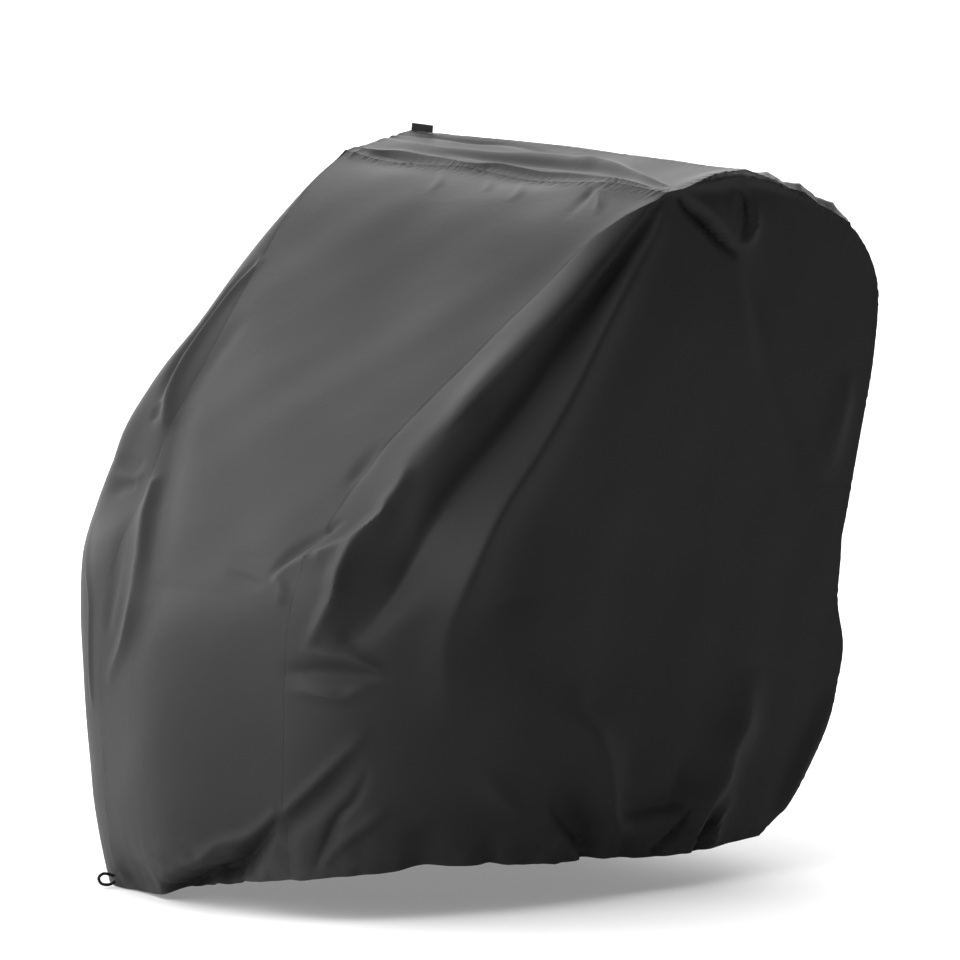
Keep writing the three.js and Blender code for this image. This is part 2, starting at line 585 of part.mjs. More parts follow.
const cover = new THREE.Group();
function add(name, geometry, color, roughness) {
  const material = new THREE.MeshStandardMaterial({ color, roughness, metalness: 0 });
  const mesh = new THREE.Mesh(geometry, material);
  mesh.name = name;
  cover.add(mesh);
}

const CLOTH_GREY = 0x3a3a3b;
const CLOTH_ROUGHNESS = 0.55;
const TRIM_BLACK = 0x161616;
const TRIM_ROUGHNESS = 0.75;
const bandPiece = (from, to) => [
  bandGrid.map((line) => line.slice(from, to + 1)),
  bandNormals.map((line) => line.slice(from, to + 1)),
];
const rearEnd = 2 * HANG_STEPS + ALONG_STEPS;
const topEnd = HANG_STEPS + TOP_STEPS;
const sides = { start: true, end: true };
const frontSheet = sheet(...bandPiece(0, HANG_STEPS), { ...sides, high: true }, 1);
const topSheet = sheet(...bandPiece(HANG_STEPS, topEnd), { ...sides, low: true, high: true }, 1);
const rearSheet = sheet(...bandPiece(topEnd, rearEnd), { ...sides, low: true }, 1);
const rightSheet = sheet(rightGrid, rightNormals, { ...sides, high: true }, 1);
const leftSheet = sheet(leftGrid, leftNormals, { ...sides, high: true }, -1);

add("front_panel", frontSheet, CLOTH_GREY, CLOTH_ROUGHNESS);
add("top_panel", topSheet, CLOTH_GREY, CLOTH_ROUGHNESS);
add("rear_panel", rearSheet, CLOTH_GREY, CLOTH_ROUGHNESS);
add("side_panel_right", rightSheet, CLOTH_GREY, CLOTH_ROUGHNESS);
add("side_panel_left", leftSheet, CLOTH_GREY, CLOTH_ROUGHNESS);

// The label stands on the seam between the top and rear panels, its lower edge just clear of the cloth.
function labelTab() {
  const seam = bandGrid.slice(0, 2).map((line) => line[topEnd]);
  const along = seam[1].clone().sub(seam[0]).normalize();
  const lean = THREE.MathUtils.degToRad(LABEL_LEAN);
  const upright = new THREE.Vector3(0, Math.sin(lean), Math.cos(lean));
  const face = along.clone().cross(upright).normalize();
  const up = face.clone().cross(along).normalize();
  const half = LABEL_WIDTH / 2;
  const middle = seam[0].clone().addScaledVector(along, LABEL_FROM_CORNER + half);
  middle.addScaledVector(up, LABEL_CLEAR + LABEL_HEIGHT / 2);
  const tab = new THREE.BoxGeometry(LABEL_WIDTH, LABEL_HEIGHT, LABEL_THICKNESS);
  return tab.applyMatrix4(new THREE.Matrix4().makeBasis(along, up, face).setPosition(middle));
}

// The loop leaves the side panel's face just above the hem, swings out and comes back below.
const LOOP_SIDES = 10;
const LOOP_STEPS = 22;
function hemLoop() {
  const down = 1 - LOOP_ABOVE_HEM / frontSeam.whole;
  const foot = draped(leftPoint(LOOP_SHARE, down));
  const out = outward("left", LOOP_SHARE, down).setZ(0).normalize();
  const place = (reach, rise) =>
    foot
      .clone()
      .addScaledVector(out, SEAM_GAP + LOOP_CLEAR + reach + LOOP_TILT * rise)
      .add(new THREE.Vector3(0, 0, rise));
  const [reach, half] = [LOOP_REACH - LOOP_CORD / 2, LOOP_RISE / 2 - LOOP_CORD / 2];
  const path = new THREE.CatmullRomCurve3([
    place(0, LOOP_SPREAD / 2),
    place(reach * 0.3, half * 0.85),
    place(reach * 0.65, half),
    place(reach * 0.95, half * 0.5),
    place(reach, -half * 0.2),
    place(reach * 0.85, -half * 0.8),
    place(reach * 0.5, -half),
    place(reach * 0.2, -half * 0.8),
    place(0, -LOOP_SPREAD / 2),
  ]);
  const ring = new THREE.Shape();
  ring.absarc(0, 0, LOOP_CORD / 2, 0, 2 * Math.PI, false);
  const made = { steps: LOOP_STEPS, curveSegments: LOOP_SIDES / 2, extrudePath: path, bevelEnabled: false };
  return new THREE.ExtrudeGeometry(ring, made);
}
add("seam_label", labelTab(), TRIM_BLACK, TRIM_ROUGHNESS);
add("hem_loop", hemLoop(), TRIM_BLACK, TRIM_ROUGHNESS);

export default cover;
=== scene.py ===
"""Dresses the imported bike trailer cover: five sewn cloth panels, their stitching, a label tab and a hem loop.

The frame is in metres, +Z up, with the sloping front facing -Y. The tables of the cloth are in millimetres.
"""
import math

import bpy
import numpy as np
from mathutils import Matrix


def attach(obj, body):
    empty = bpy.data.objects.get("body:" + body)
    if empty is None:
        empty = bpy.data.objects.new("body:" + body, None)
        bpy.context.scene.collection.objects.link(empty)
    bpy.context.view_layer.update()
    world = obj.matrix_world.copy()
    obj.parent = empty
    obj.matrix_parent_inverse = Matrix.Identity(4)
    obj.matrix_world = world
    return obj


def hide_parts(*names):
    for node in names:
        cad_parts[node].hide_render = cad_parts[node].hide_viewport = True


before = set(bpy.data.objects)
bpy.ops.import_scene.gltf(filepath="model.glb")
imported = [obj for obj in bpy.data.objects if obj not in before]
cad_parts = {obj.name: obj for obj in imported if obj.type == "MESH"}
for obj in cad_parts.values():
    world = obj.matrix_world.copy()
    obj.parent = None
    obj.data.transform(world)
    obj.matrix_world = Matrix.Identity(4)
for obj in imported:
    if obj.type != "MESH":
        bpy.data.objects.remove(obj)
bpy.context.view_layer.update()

bl_info = {
    "name": "Bike Trailer Cover",
    "version": (1, 0, 0),
    "blender": (4, 5, 0),
    "location": "View3D > Sidebar > Trailer Cover",
    "description": "Sews a fitted storage cover for a bike trailer and sets it on a plain stage",
    "category": "Add Mesh",
}

MM = 0.001

# The shape of the cloth, in millimetres

# The front seam of the +X side, from the top edge down to the hem. Columns: x, y, z.
FRONT_SEAM = (
    (348, 117, 1010),
    (321, 10, 960),
    (296, -83, 882),
    (270, -174, 801),
    (246, -258, 727),
    (226, -330, 660),
    (204, -397, 572),
    (200, -454, 505),
    (199, -477, 435),
    (198, -483, 334),
    (195, -481, 234),
    (191, -477, 155),
    (188, -462, 64),
)

# The rear seam of the +X side, from the top edge round the back and down to the hem. Columns: x, y, z.
REAR_SEAM = (
    (348, 267, 1031),
    (351, 347, 1012),
    (353, 425, 979),
    (356, 483, 936),
    (358, 514, 880),
    (360, 521, 812),
    (360, 511, 740),
    (360, 492, 655),
    (360, 472, 570),
    (360, 453, 480),
    (360, 442, 395),
    (361, 452, 318),
    (360, 430, 238),
    (358, 389, 162),
    (355, 347, 102),
    (350, 297, 60),
)

# How a side panel turns the nose corner, by the share of the way down.
# Columns: down, shoulder x, shoulder y past the seam, flank x, flank y past the seam.
CORNER_TURN = (
    (0.0, 352, 60, 364, 250),
    (0.1, 376, -20, 372, 190),
    (0.2, 410, -66, 376, 140),
    (0.35, 434, -86, 382, 112),
    (0.48, 434, -72, 390, 130),
    (0.58, 424, -30, 400, 185),
    (0.68, 396, 16, 404, 240),
    (0.85, 376, 42, 404, 250),
    (1.0, 330, 40, 378, 210),
)

# How far the front and rear panels crown outwards between their seams. Columns: down, front, rear.
CROWN = (
    (0.0, 0, 0),
    (0.2, 6, 10),
    (0.5, 8, 20),
    (0.65, 14, 20),
    (0.8, 22, 18),
    (0.9, 22, 16),
    (1.0, 16, 6),
)

# How high each panel's hem hangs above the floor. Columns: share across the panel, height.
HEM = {
    "front": ((0, 0), (0.2, 3), (0.4, 16), (0.6, 32), (0.8, 48), (1, 58)),
    "right": ((0, 58), (0.15, 70), (0.3, 75), (0.55, 62), (0.8, 51), (1, 60)),
    "rear": ((0, 48), (0.5, 40), (1, 60)),
    "left": ((0, 0), (0.06, 2), (0.2, 12), (0.5, 40), (1, 48)),
}
HEM_REACH = 440  # the height up to which the cloth follows the hem's ups and downs
SHOULDER_SHARE = 0.3  # share of the rear seam above the rear shoulder
TOP_SHARE = 1 / 3  # share of a side panel's upper edge that is the top edge
DRAW_UP = 2.2  # how fast a side panel is drawn up to its upper edge


def fold(name, panel, points, crisp=0.0, lean=1.0, way=None):
    """One fold: its panel and points, and how crisp its crest is (0 round, 1 sharp).

    The lean is how much wider it is on its left side, seen from outside along its line. The way is the
    direction it is pushed in, if that isn't straight out of the cloth.
    """
    return {"name": name, "panel": panel, "points": points, "crisp": crisp, "lean": lean, "way": way}


# Columns of a fold's point: share across, share down, height (a trough is negative), half width.
FOLDS = (
    fold("corner roll", "right", (
        (0.033, 0.033, 2, 14), (0.093, 0.186, 5, 22), (0.097, 0.261, 8, 28), (0.093, 0.325, 9, 32),
        (0.1, 0.383, 10, 34), (0.087, 0.461, 8, 32), (0.08, 0.53, 3, 28), (0.07, 0.6, 0, 26),
    )),
    fold("lip of the trough", "right", (
        (0.088, 0.472, 4, 13), (0.092, 0.491, 8, 14), (0.088, 0.513, 11, 15), (0.088, 0.531, 13, 15),
        (0.069, 0.581, 15, 16), (0.065, 0.619, 15, 16), (0.069, 0.65, 14, 15), (0.058, 0.684, 11, 14),
        (0.042, 0.712, 4, 12),
    ), crisp=0.3),
    fold("wall beside the lip", "right", (
        (0.118, 0.49, -4, 24), (0.12, 0.543, -12, 32), (0.117, 0.593, -15, 34), (0.114, 0.64, -14, 30),
        (0.1, 0.683, -9, 22), (0.09, 0.703, -2, 14),
    )),
    fold("long valley", "right", (
        (0.047, 0.017, -4, 10), (0.131, 0.092, -13, 15), (0.155, 0.178, -21, 21), (0.183, 0.289, -27, 28),
        (0.185, 0.372, -31, 33), (0.177, 0.43, -33, 36), (0.168, 0.5, -34, 37), (0.16, 0.56, -32, 35),
        (0.15, 0.62, -24, 31), (0.118, 0.68, -10, 26), (0.06, 0.719, -1, 20),
    ), crisp=0.35),
    fold("long crest", "right", (
        (0.058, 0.02, 4, 8), (0.134, 0.07, 9, 11), (0.16, 0.107, 13, 14), (0.187, 0.16, 16, 17),
        (0.217, 0.236, 18, 21), (0.238, 0.319, 22, 24), (0.245, 0.378, 25, 26), (0.242, 0.45, 28, 27),
        (0.238, 0.525, 31, 28), (0.234, 0.6, 28, 31), (0.232, 0.66, 20, 34), (0.245, 0.72, 10, 38),
        (0.27, 0.78, 0, 40),
    ), crisp=0.5, lean=1.7),
    fold("swell of the lower side", "right", (
        (0.331, 0.588, 0, 70), (0.369, 0.672, 11, 85), (0.392, 0.759, 18, 95), (0.415, 0.85, 16, 95),
        (0.431, 0.928, 7, 80),
    )),
    fold("groove between", "right", (
        (0.117, 0.061, -1, 7), (0.16, 0.167, -3, 9), (0.207, 0.253, -3, 10), (0.23, 0.333, 0, 10),
    )),
    fold("edge of the roll", "right", (
        (0.008, 0.019, 3, 14), (0.081, 0.088, 9, 30), (0.108, 0.153, 15, 42), (0.115, 0.219, 15, 44),
        (0.112, 0.294, 12, 38), (0.104, 0.359, 6, 28), (0.096, 0.403, 1, 18),
    ), crisp=0.2, lean=0.3),
    fold("waist crest", "right", (
        (0.023, 0.728, 1, 9), (0.058, 0.722, 6, 10), (0.104, 0.712, 8, 11), (0.135, 0.716, 5, 10),
        (0.158, 0.722, 0, 9),
    ), crisp=0.4),
    fold("waist valley", "right", (
        (0.004, 0.756, -3, 10), (0.042, 0.747, -9, 12), (0.088, 0.738, -11, 13), (0.127, 0.731, -7, 11),
        (0.154, 0.728, -1, 10),
    )),
    fold("waist lip", "right", (
        (0.008, 0.778, 1, 8), (0.038, 0.772, 5, 9), (0.069, 0.769, 7, 9), (0.096, 0.766, 5, 9),
        (0.123, 0.75, 3, 9), (0.154, 0.734, 0, 9),
    ), crisp=0.4),
    fold("swag edge", "right", (
        (0.069, 0.006, 3, 5), (0.185, 0.034, 7, 5), (0.262, 0.05, 11, 5), (0.323, 0.062, 13, 5),
        (0.365, 0.072, 13, 5), (0.4, 0.078, 11, 5), (0.435, 0.084, 6, 5),
    ), crisp=0.4, lean=6),
    fold("hollow under the swag", "right", (
        (0.115, 0.022, -4, 6), (0.196, 0.041, -10, 8), (0.285, 0.059, -15, 9), (0.346, 0.072, -16, 10),
        (0.392, 0.081, -13, 10), (0.438, 0.091, -7, 9),
    ), crisp=0.2),
    fold("swag pocket", "right", (
        (0.342, 0.019, -3, 4), (0.385, 0.028, -9, 5), (0.404, 0.038, -9, 6), (0.427, 0.053, -6, 7),
        (0.435, 0.072, -3, 7),
    )),
    fold("rim of the pocket", "right", (
        (0.346, 0.019, 2, 4), (0.388, 0.028, 4, 4), (0.412, 0.038, 5, 4), (0.435, 0.047, 6, 4),
        (0.454, 0.059, 6, 4), (0.462, 0.069, 5, 4), (0.458, 0.078, 3, 4),
    ), crisp=0.4, lean=3),
    fold("crest beside the pocket", "right", (
        (0.338, 0.022, 0, 6), (0.346, 0.034, 2, 7), (0.362, 0.05, 2, 7), (0.377, 0.066, 0, 7),
    )),
    fold("roll of the top edge", "right", (
        (0.058, 0, 3, 6), (0.112, 0.003, 7, 8), (0.15, 0.006, 10, 9), (0.223, 0.009, 13, 9),
        (0.285, 0.009, 14, 9), (0.346, 0.009, 13, 9), (0.415, 0.006, 9, 9), (0.508, 0.006, 4, 8),
        (0.604, 0.006, 0, 8),
    ), crisp=0.3),
    fold("hem crest", "right", (
        (0.471, 0.7, 0, 34), (0.483, 0.75, 9, 34), (0.517, 0.783, 17, 34), (0.542, 0.82, 22, 32),
        (0.562, 0.86, 24, 29), (0.579, 0.897, 22, 25), (0.617, 0.937, 15, 21), (0.646, 0.977, 9, 19),
    ), crisp=0.2),
    fold("hollow left of the hem crest", "right", (
        (0.45, 0.82, 0, 22), (0.479, 0.873, -11, 22), (0.521, 0.91, -19, 21), (0.562, 0.95, -25, 20),
        (0.592, 0.993, -25, 20),
    ), crisp=0.3),
    fold("hem pocket", "right", ((0.629, 0.947, -5, 12), (0.646, 0.967, -13, 14), (0.662, 0.993, -16, 16))),
    fold("fan crease", "right", (
        (0.43, 0.857, -3, 9), (0.462, 0.89, -7, 10), (0.5, 0.92, -9, 10), (0.542, 0.953, -7, 10),
    ), crisp=0.4),
    fold("groove between the hem crests", "right", (
        (0.604, 0.907, -1, 12), (0.642, 0.9, -7, 13), (0.692, 0.893, -9, 13), (0.746, 0.893, -4, 12),
    )),
    fold("rear hem crest", "right", (
        (0.82, 0.66, 0, 32), (0.817, 0.72, 9, 32), (0.815, 0.76, 15, 30), (0.8, 0.797, 18, 27),
        (0.802, 0.847, 19, 24), (0.792, 0.883, 17, 21), (0.79, 0.917, 14, 16), (0.802, 0.96, 9, 14),
        (0.808, 0.987, 5, 13),
    ), crisp=0.2),
    fold("hollow left of the rear crest", "right", (
        (0.725, 0.78, 0, 24), (0.729, 0.82, -6, 22), (0.733, 0.853, -10, 20), (0.733, 0.88, -9, 16),
    )),
    fold("hem crease", "right", (
        (0.771, 0.897, -6, 6), (0.767, 0.933, -12, 8), (0.75, 0.963, -11, 9), (0.738, 0.987, -7, 9),
    ), crisp=0.5),
    fold("hem slit", "right", (
        (0.821, 0.9, -5, 5), (0.825, 0.93, -12, 6), (0.825, 0.963, -12, 6), (0.842, 0.997, -9, 7),
    ), crisp=0.6),
    fold("crest right of the slit", "right", (
        (0.842, 0.887, 4, 12), (0.842, 0.927, 8, 10), (0.862, 0.977, 8, 10),
    )),
    fold("slanting hem crest", "right", (
        (0.317, 0.85, 2, 20), (0.362, 0.887, 10, 18), (0.417, 0.917, 11, 15), (0.475, 0.953, 7, 12),
    ), crisp=0.2),
    fold("hem hollow", "right", ((0.242, 0.92, 0, 26), (0.242, 0.96, -10, 27), (0.246, 0.993, -16, 28))),
    fold("hem hollow", "right", ((0.358, 0.93, 0, 15), (0.362, 0.963, -9, 16), (0.375, 0.997, -13, 16))),
    fold("rear edge roll", "right", (
        (0.996, 0.683, 0, 16), (0.992, 0.757, 7, 16), (0.987, 0.84, 8, 16), (0.992, 0.923, 5, 13),
    )),
    fold("drag crease", "right", (
        (0.008, 0.916, 6, 10), (0.038, 0.894, 8, 11), (0.065, 0.872, 9, 12), (0.088, 0.85, 8, 13),
        (0.112, 0.825, 5, 13), (0.142, 0.791, 0, 13),
    ), crisp=0.6),
    fold("hollow right of the drag", "right", (
        (0, 0.944, -8, 16), (0.035, 0.919, -10, 17), (0.069, 0.894, -10, 18), (0.1, 0.862, -7, 18),
        (0.127, 0.831, 0, 17),
    )),
    fold("second drag", "right", (
        (0.054, 0.981, -4, 8), (0.069, 0.959, -8, 9), (0.092, 0.922, -9, 9), (0.119, 0.894, -7, 9),
        (0.135, 0.859, -2, 9),
    ), crisp=0.5),
    fold("pale streak", "right", (
        (0.069, 0.972, 2, 9), (0.104, 0.95, 5, 10), (0.146, 0.922, 5, 11), (0.177, 0.9, 0, 11),
    )),
    fold("crease across the seam", "right", (
        (0.096, 0.513, 2, 7), (0.085, 0.541, 5, 9), (0.062, 0.572, 7, 10), (0.038, 0.594, 8, 10),
        (0.019, 0.609, 8, 10),
    ), crisp=0.5, lean=2),
    fold("hollow over the crease", "right", (
        (0.031, 0.559, 0, 5), (0.015, 0.569, -3, 6), (0.008, 0.578, -5, 7),
    )),
    fold("flank band", "right", (
        (0.446, 0.09, 0, 16), (0.554, 0.13, -5, 20), (0.662, 0.197, -6, 24), (0.808, 0.29, -5, 26),
        (0.912, 0.38, 0, 26),
    )),
    fold("rear flank swell", "right", (
        (0.912, 0.167, 0, 16), (0.917, 0.213, 6, 18), (0.917, 0.28, 6, 20), (0.921, 0.347, 0, 20),
    )),
    fold("flank hollow", "right", ((0.5, 0.45, 0, 80), (0.56, 0.6, -7, 95), (0.6, 0.78, 0, 85))),

    fold("crease across the seam, front part", "front", (
        (0.992, 0.622, 7, 10), (0.923, 0.638, 5, 10), (0.842, 0.653, 1, 9),
    ), crisp=0.5, lean=2),
    fold("hollow over the crease, front part", "front", (
        (0.996, 0.591, -4, 8), (0.954, 0.606, -6, 9), (0.904, 0.625, -6, 9), (0.873, 0.644, -3, 8),
        (0.838, 0.656, 0, 7),
    )),
    fold("knob under the crease", "front", (
        (0.908, 0.656, 4, 11), (0.946, 0.669, 6, 12), (0.962, 0.684, 1, 13),
    )),
    fold("dimple", "front", (
        (0.631, 0.653, 0, 8), (0.727, 0.659, -3, 8), (0.812, 0.663, -2, 7), (0.854, 0.659, 0, 6),
    )),
    fold("upper dimple", "front", ((0.612, 0.634, 0, 8), (0.719, 0.634, -1.5, 8), (0.838, 0.634, 0, 8))),
    fold("small hollow on the seam", "front", (
        (0.97, 0.52, -1, 12), (0.98, 0.494, -4, 14), (0.985, 0.47, -1, 12),
    )),
    fold("far crest, lower part", "front", (
        (0.031, 0.556, 6, 13), (0.046, 0.578, 8, 14), (0.073, 0.603, 9, 15), (0.123, 0.634, 9, 15),
        (0.165, 0.663, 9, 15), (0.196, 0.703, 8, 15), (0.165, 0.747, 6, 15), (0.073, 0.784, 2, 14),
    ), crisp=0.4),
    fold("hollow left of the far crest", "front", (
        (0, 0.609, -1, 12), (0.015, 0.647, -4, 13), (0.054, 0.697, -4, 13), (0.046, 0.734, -2, 12),
    )),
    fold("trough inside the far crest", "front", (
        (0.054, 0.322, -2, 18), (0.019, 0.425, -4, 20), (0.05, 0.478, -6, 24), (0.108, 0.553, -6, 26),
        (0.142, 0.591, -6, 28), (0.235, 0.653, -5, 30), (0.288, 0.7, -4, 30), (0.273, 0.744, -2, 30),
        (0.231, 0.778, 0, 30),
    )),
    fold("slack of the slope", "front", ((0.48, 0.08, 0, 95), (0.55, 0.25, -6, 125), (0.5, 0.42, 0, 115))),
    fold("swell of the nose", "front", (
        (0.45, 0.68, 2, 100), (0.46, 0.77, 20, 120), (0.47, 0.85, 30, 130), (0.48, 0.92, 30, 130),
        (0.48, 1, 24, 120),
    )),
    fold("slack above the nose", "front", ((0.1, 0.64, -8, 56), (0.5, 0.64, -14, 66), (0.9, 0.64, -8, 56))),
    fold("hem drawn in under the nose", "front", ((0.02, 1, -7, 34), (0.14, 1, -13, 40), (0.28, 1, -13, 38))),
    fold("tuck under the nose", "front", (
        (0.4, 0.997, -44, 30), (0.481, 0.991, -54, 32), (0.588, 0.984, -54, 32), (0.708, 0.981, -46, 29),
        (0.812, 0.966, -30, 22), (0.9, 0.947, -16, 15), (0.958, 0.931, -5, 9),
    ), crisp=0.2, lean=0.4),
    fold("lip over the tuck", "front", (
        (0.423, 0.984, 0, 10), (0.527, 0.975, 3, 10), (0.642, 0.959, 5, 10), (0.715, 0.95, 6, 10),
        (0.819, 0.947, 6, 10), (0.892, 0.938, 5, 10), (0.958, 0.922, 4, 9),
    ), crisp=0.3),
    fold("wedge below the top seam", "front", (
        (0.831, 0.019, 2, 5), (0.877, 0.041, 4, 6), (0.915, 0.062, 1, 8),
    )),
    fold("hollow beside the wedge", "front", (
        (0.8, 0.016, -2, 6), (0.815, 0.031, -4, 7), (0.838, 0.056, -2, 9), (0.865, 0.088, 0, 10),
    )),
    *(fold("dent below the top seam", "front", points) for points in (
        ((0.331, 0.016, 1, 6), (0.373, 0.047, 2, 8), (0.388, 0.075, 0, 9)),
        ((0.473, 0.012, 1, 5), (0.515, 0.034, 2, 6), (0.538, 0.056, 0, 9)),
        ((0.581, 0.012, 2, 6), (0.627, 0.044, 2, 8), (0.638, 0.069, 0, 10)),
    )),

    fold("far crest", "left", (
        (0.004, 0.217, 3, 9), (0.029, 0.253, 5, 10), (0.046, 0.303, 6, 11), (0.046, 0.373, 8, 12),
        (0.037, 0.42, 9, 13), (0.013, 0.47, 6, 14),
    ), crisp=0.4),
    fold("slit behind the far crest", "left", (
        (0.013, 0.217, -3, 7), (0.05, 0.253, -6, 8), (0.064, 0.303, -8, 8), (0.066, 0.35, -8, 8),
        (0.06, 0.39, -8, 8), (0.048, 0.427, -4, 8),
    ), crisp=0.4),
    fold("roll behind the slit", "left", (
        (0.08, 0.3, 0, 24), (0.1, 0.42, 6, 28), (0.09, 0.5, 7, 24), (0.1, 0.6, 0, 28),
    )),
    fold("dark patch", "left", ((0.042, 0.444, -4, 8), (0.038, 0.456, -4, 8))),
    fold("patch under the roll", "left", (
        (0.088, 0.509, -1, 11), (0.069, 0.516, -4, 12), (0.038, 0.528, -4, 11),
    )),
    fold("second patch", "left", ((0.085, 0.544, -1, 10), (0.065, 0.553, -5, 11), (0.035, 0.556, -3, 10))),
    fold("ridge between the patches", "left", (
        (0.081, 0.528, 0, 7), (0.054, 0.538, 2, 7), (0.023, 0.547, 2, 7),
    )),
    fold("swell of the far corner", "left", (
        (0.13, 0.5, 0, 45), (0.14, 0.56, 8, 50), (0.14, 0.62, 8, 50), (0.15, 0.7, 5, 50), (0.15, 0.8, 0, 45),
    )),
    fold("edge line", "left", (
        (0.104, 0.603, 1, 7), (0.077, 0.65, 3, 7), (0.046, 0.703, 4, 7), (0.042, 0.747, 4, 7),
        (0.038, 0.788, 3, 7), (0.038, 0.819, 0, 7),
    ), crisp=0.3),
    fold("hem drawn in at the corner", "left", (
        (0.12, 0.9, 0, 34), (0.12, 0.96, -6, 36), (0.12, 1, -11, 38),
    )),
    fold("far trough from the top corner", "left", (
        (0.12, 0.05, -4, 24), (0.19, 0.16, -12, 36), (0.27, 0.3, -17, 48), (0.3, 0.46, -15, 56),
        (0.28, 0.62, 0, 52),
    ), crisp=0.2),
    fold("far ridge beside it", "left", (
        (0.22, 0.06, 4, 24), (0.3, 0.17, 10, 36), (0.39, 0.32, 14, 48), (0.43, 0.5, 12, 58),
        (0.4, 0.68, 0, 58),
    ), crisp=0.2),
    fold("far flank hollow", "left", (
        (0.62, 0.18, 0, 62), (0.67, 0.38, -9, 78), (0.63, 0.58, -6, 82), (0.6, 0.74, 0, 80),
    )),
    fold("far flank swell", "left", ((0.8, 0.34, 0, 62), (0.83, 0.55, 8, 70), (0.85, 0.76, 0, 62))),
    fold("hem ridge", "left", ((0.34, 0.84, 0, 36), (0.35, 0.93, 8, 36), (0.35, 1, 11, 38))),
    fold("hem trough", "left", ((0.5, 0.86, 0, 30), (0.49, 0.94, -9, 30), (0.49, 1, -13, 32))),
    fold("hem ridge", "left", ((0.63, 0.82, 0, 30), (0.62, 0.92, 9, 30), (0.63, 1, 12, 32))),
    fold("hem trough", "left", ((0.79, 0.86, 0, 28), (0.78, 0.94, -8, 30), (0.78, 1, -12, 30))),

    fold("sag between the rear shoulders", "rear", (
        (0.1, 0.3, 0, 62), (0.3, 0.36, -8, 72), (0.6, 0.37, -10, 72), (0.9, 0.31, 0, 62),
    )),
    fold("edge over the near shoulder", "rear", (
        (1, 0.02, -2, 24), (1, 0.05, -7, 24), (1, 0.08, -10, 24), (1, 0.105, -9, 24), (1, 0.13, -13, 24),
        (1, 0.165, -12, 24), (1, 0.19, -8, 24), (1, 0.21, -10, 24), (1, 0.24, -6, 24), (1, 0.28, 0, 24),
    ), lean=0.4),
    *(fold("crinkle of the near shoulder", "rear", points, crisp=0.4) for points in (
        ((0.985, 0.045, 2.8, 8), (0.955, 0.06, 3.8, 9), (0.93, 0.07, 0, 10)),
        ((0.985, 0.075, -3.8, 8), (0.95, 0.085, -2.8, 9), (0.92, 0.09, 0, 10)),
        ((0.985, 0.1, 3.8, 8), (0.955, 0.115, 4.8, 9), (0.92, 0.125, 0, 10)),
        ((0.99, 0.135, -3.8, 8), (0.95, 0.14, -2.8, 9), (0.92, 0.145, 0, 10)),
        ((0.985, 0.16, 3.8, 8), (0.955, 0.175, 5.7, 9), (0.92, 0.195, 0, 10)),
        ((0.99, 0.2, -3.8, 8), (0.96, 0.21, -2.8, 9), (0.93, 0.22, 0, 10)),
    )),
    fold("drag from the near shoulder", "rear", (
        (0.95, 0.2, 0, 40), (0.82, 0.34, 8, 50), (0.68, 0.52, 9, 60), (0.62, 0.68, 0, 60),
    ), crisp=0.2),
    fold("drag from the far shoulder", "rear", (
        (0.06, 0.22, 0, 40), (0.2, 0.38, 7, 50), (0.3, 0.56, 8, 60), (0.33, 0.72, 0, 60),
    ), crisp=0.2),
    fold("upright roll", "rear", (
        (0.46, 0.42, 0, 48), (0.49, 0.54, 7, 52), (0.47, 0.7, 6, 54), (0.44, 0.82, 0, 50),
    )),
    fold("waist crease", "rear", (
        (1, 0.6, -3, 26), (0.8, 0.61, -8, 28), (0.55, 0.6, -6, 30), (0.3, 0.62, 0, 28),
    ), crisp=0.3),
    fold("hem trough", "rear", ((0.24, 0.9, 0, 32), (0.24, 0.96, -8, 32), (0.25, 1, -12, 34))),
    fold("hem ridge", "rear", ((0.45, 0.88, 0, 36), (0.46, 0.95, 7, 36), (0.46, 1, 11, 36))),
    fold("hem trough", "rear", ((0.7, 0.9, 0, 30), (0.7, 0.96, -7, 30), (0.7, 1, -10, 32))),

    fold("front ridge of the top", "top", (
        (0.004, 0.1, 2, 7), (0.062, 0.138, 4, 8), (0.127, 0.188, 5, 8), (0.273, 0.106, 6, 8),
        (0.381, 0.05, 6, 8), (0.45, 0.144, 6, 7), (0.573, 0.144, 6, 7), (0.7, 0.141, 6, 7),
        (0.838, 0.072, 5, 7), (0.927, 0.056, 2, 6),
    ), crisp=0.6),
    fold("hollow before the front ridge", "top", (
        (0.05, 0.047, 0, 7), (0.108, 0.128, -4, 8), (0.2, 0.109, -4, 8), (0.308, 0.022, 0, 7),
    )),
    fold("valley behind the front ridge", "top", (
        (0.204, 0.266, 0, 10), (0.358, 0.272, -5, 12), (0.469, 0.322, -6, 14), (0.577, 0.391, -6, 14),
        (0.7, 0.391, -6, 14), (0.823, 0.262, -4, 12), (0.927, 0.15, -1, 9),
    )),
    fold("second ridge of the top", "top", (
        (0.008, 0.522, 2, 18), (0.104, 0.434, 5, 26), (0.212, 0.372, 7, 36), (0.3, 0.391, 8, 42),
        (0.385, 0.428, 8, 46), (0.488, 0.578, 8, 46), (0.608, 0.638, 7, 36),
    ), crisp=0.2, lean=0.3),
    fold("valley behind the second ridge", "top", (
        (0.023, 0.788, 0, 7), (0.085, 0.853, -3, 8), (0.208, 0.819, -4, 9), (0.319, 0.844, -3, 9),
        (0.515, 0.659, 0, 9),
    )),
    fold("drag from the near corner", "top", (
        (0.608, 0.638, 3, 26), (0.669, 0.597, 7, 28), (0.765, 0.45, 9, 26), (0.862, 0.3, 8, 20),
        (0.942, 0.2, 3, 10),
    ), crisp=0.3, lean=0.4),
    fold("rise of the near edge", "top", (
        (1, 0.1, 1, 22), (1, 0.4, 6, 30), (1, 0.65, 7, 30), (1, 0.95, 2, 26),
    )),
    fold("sway of the front edge", "top", (
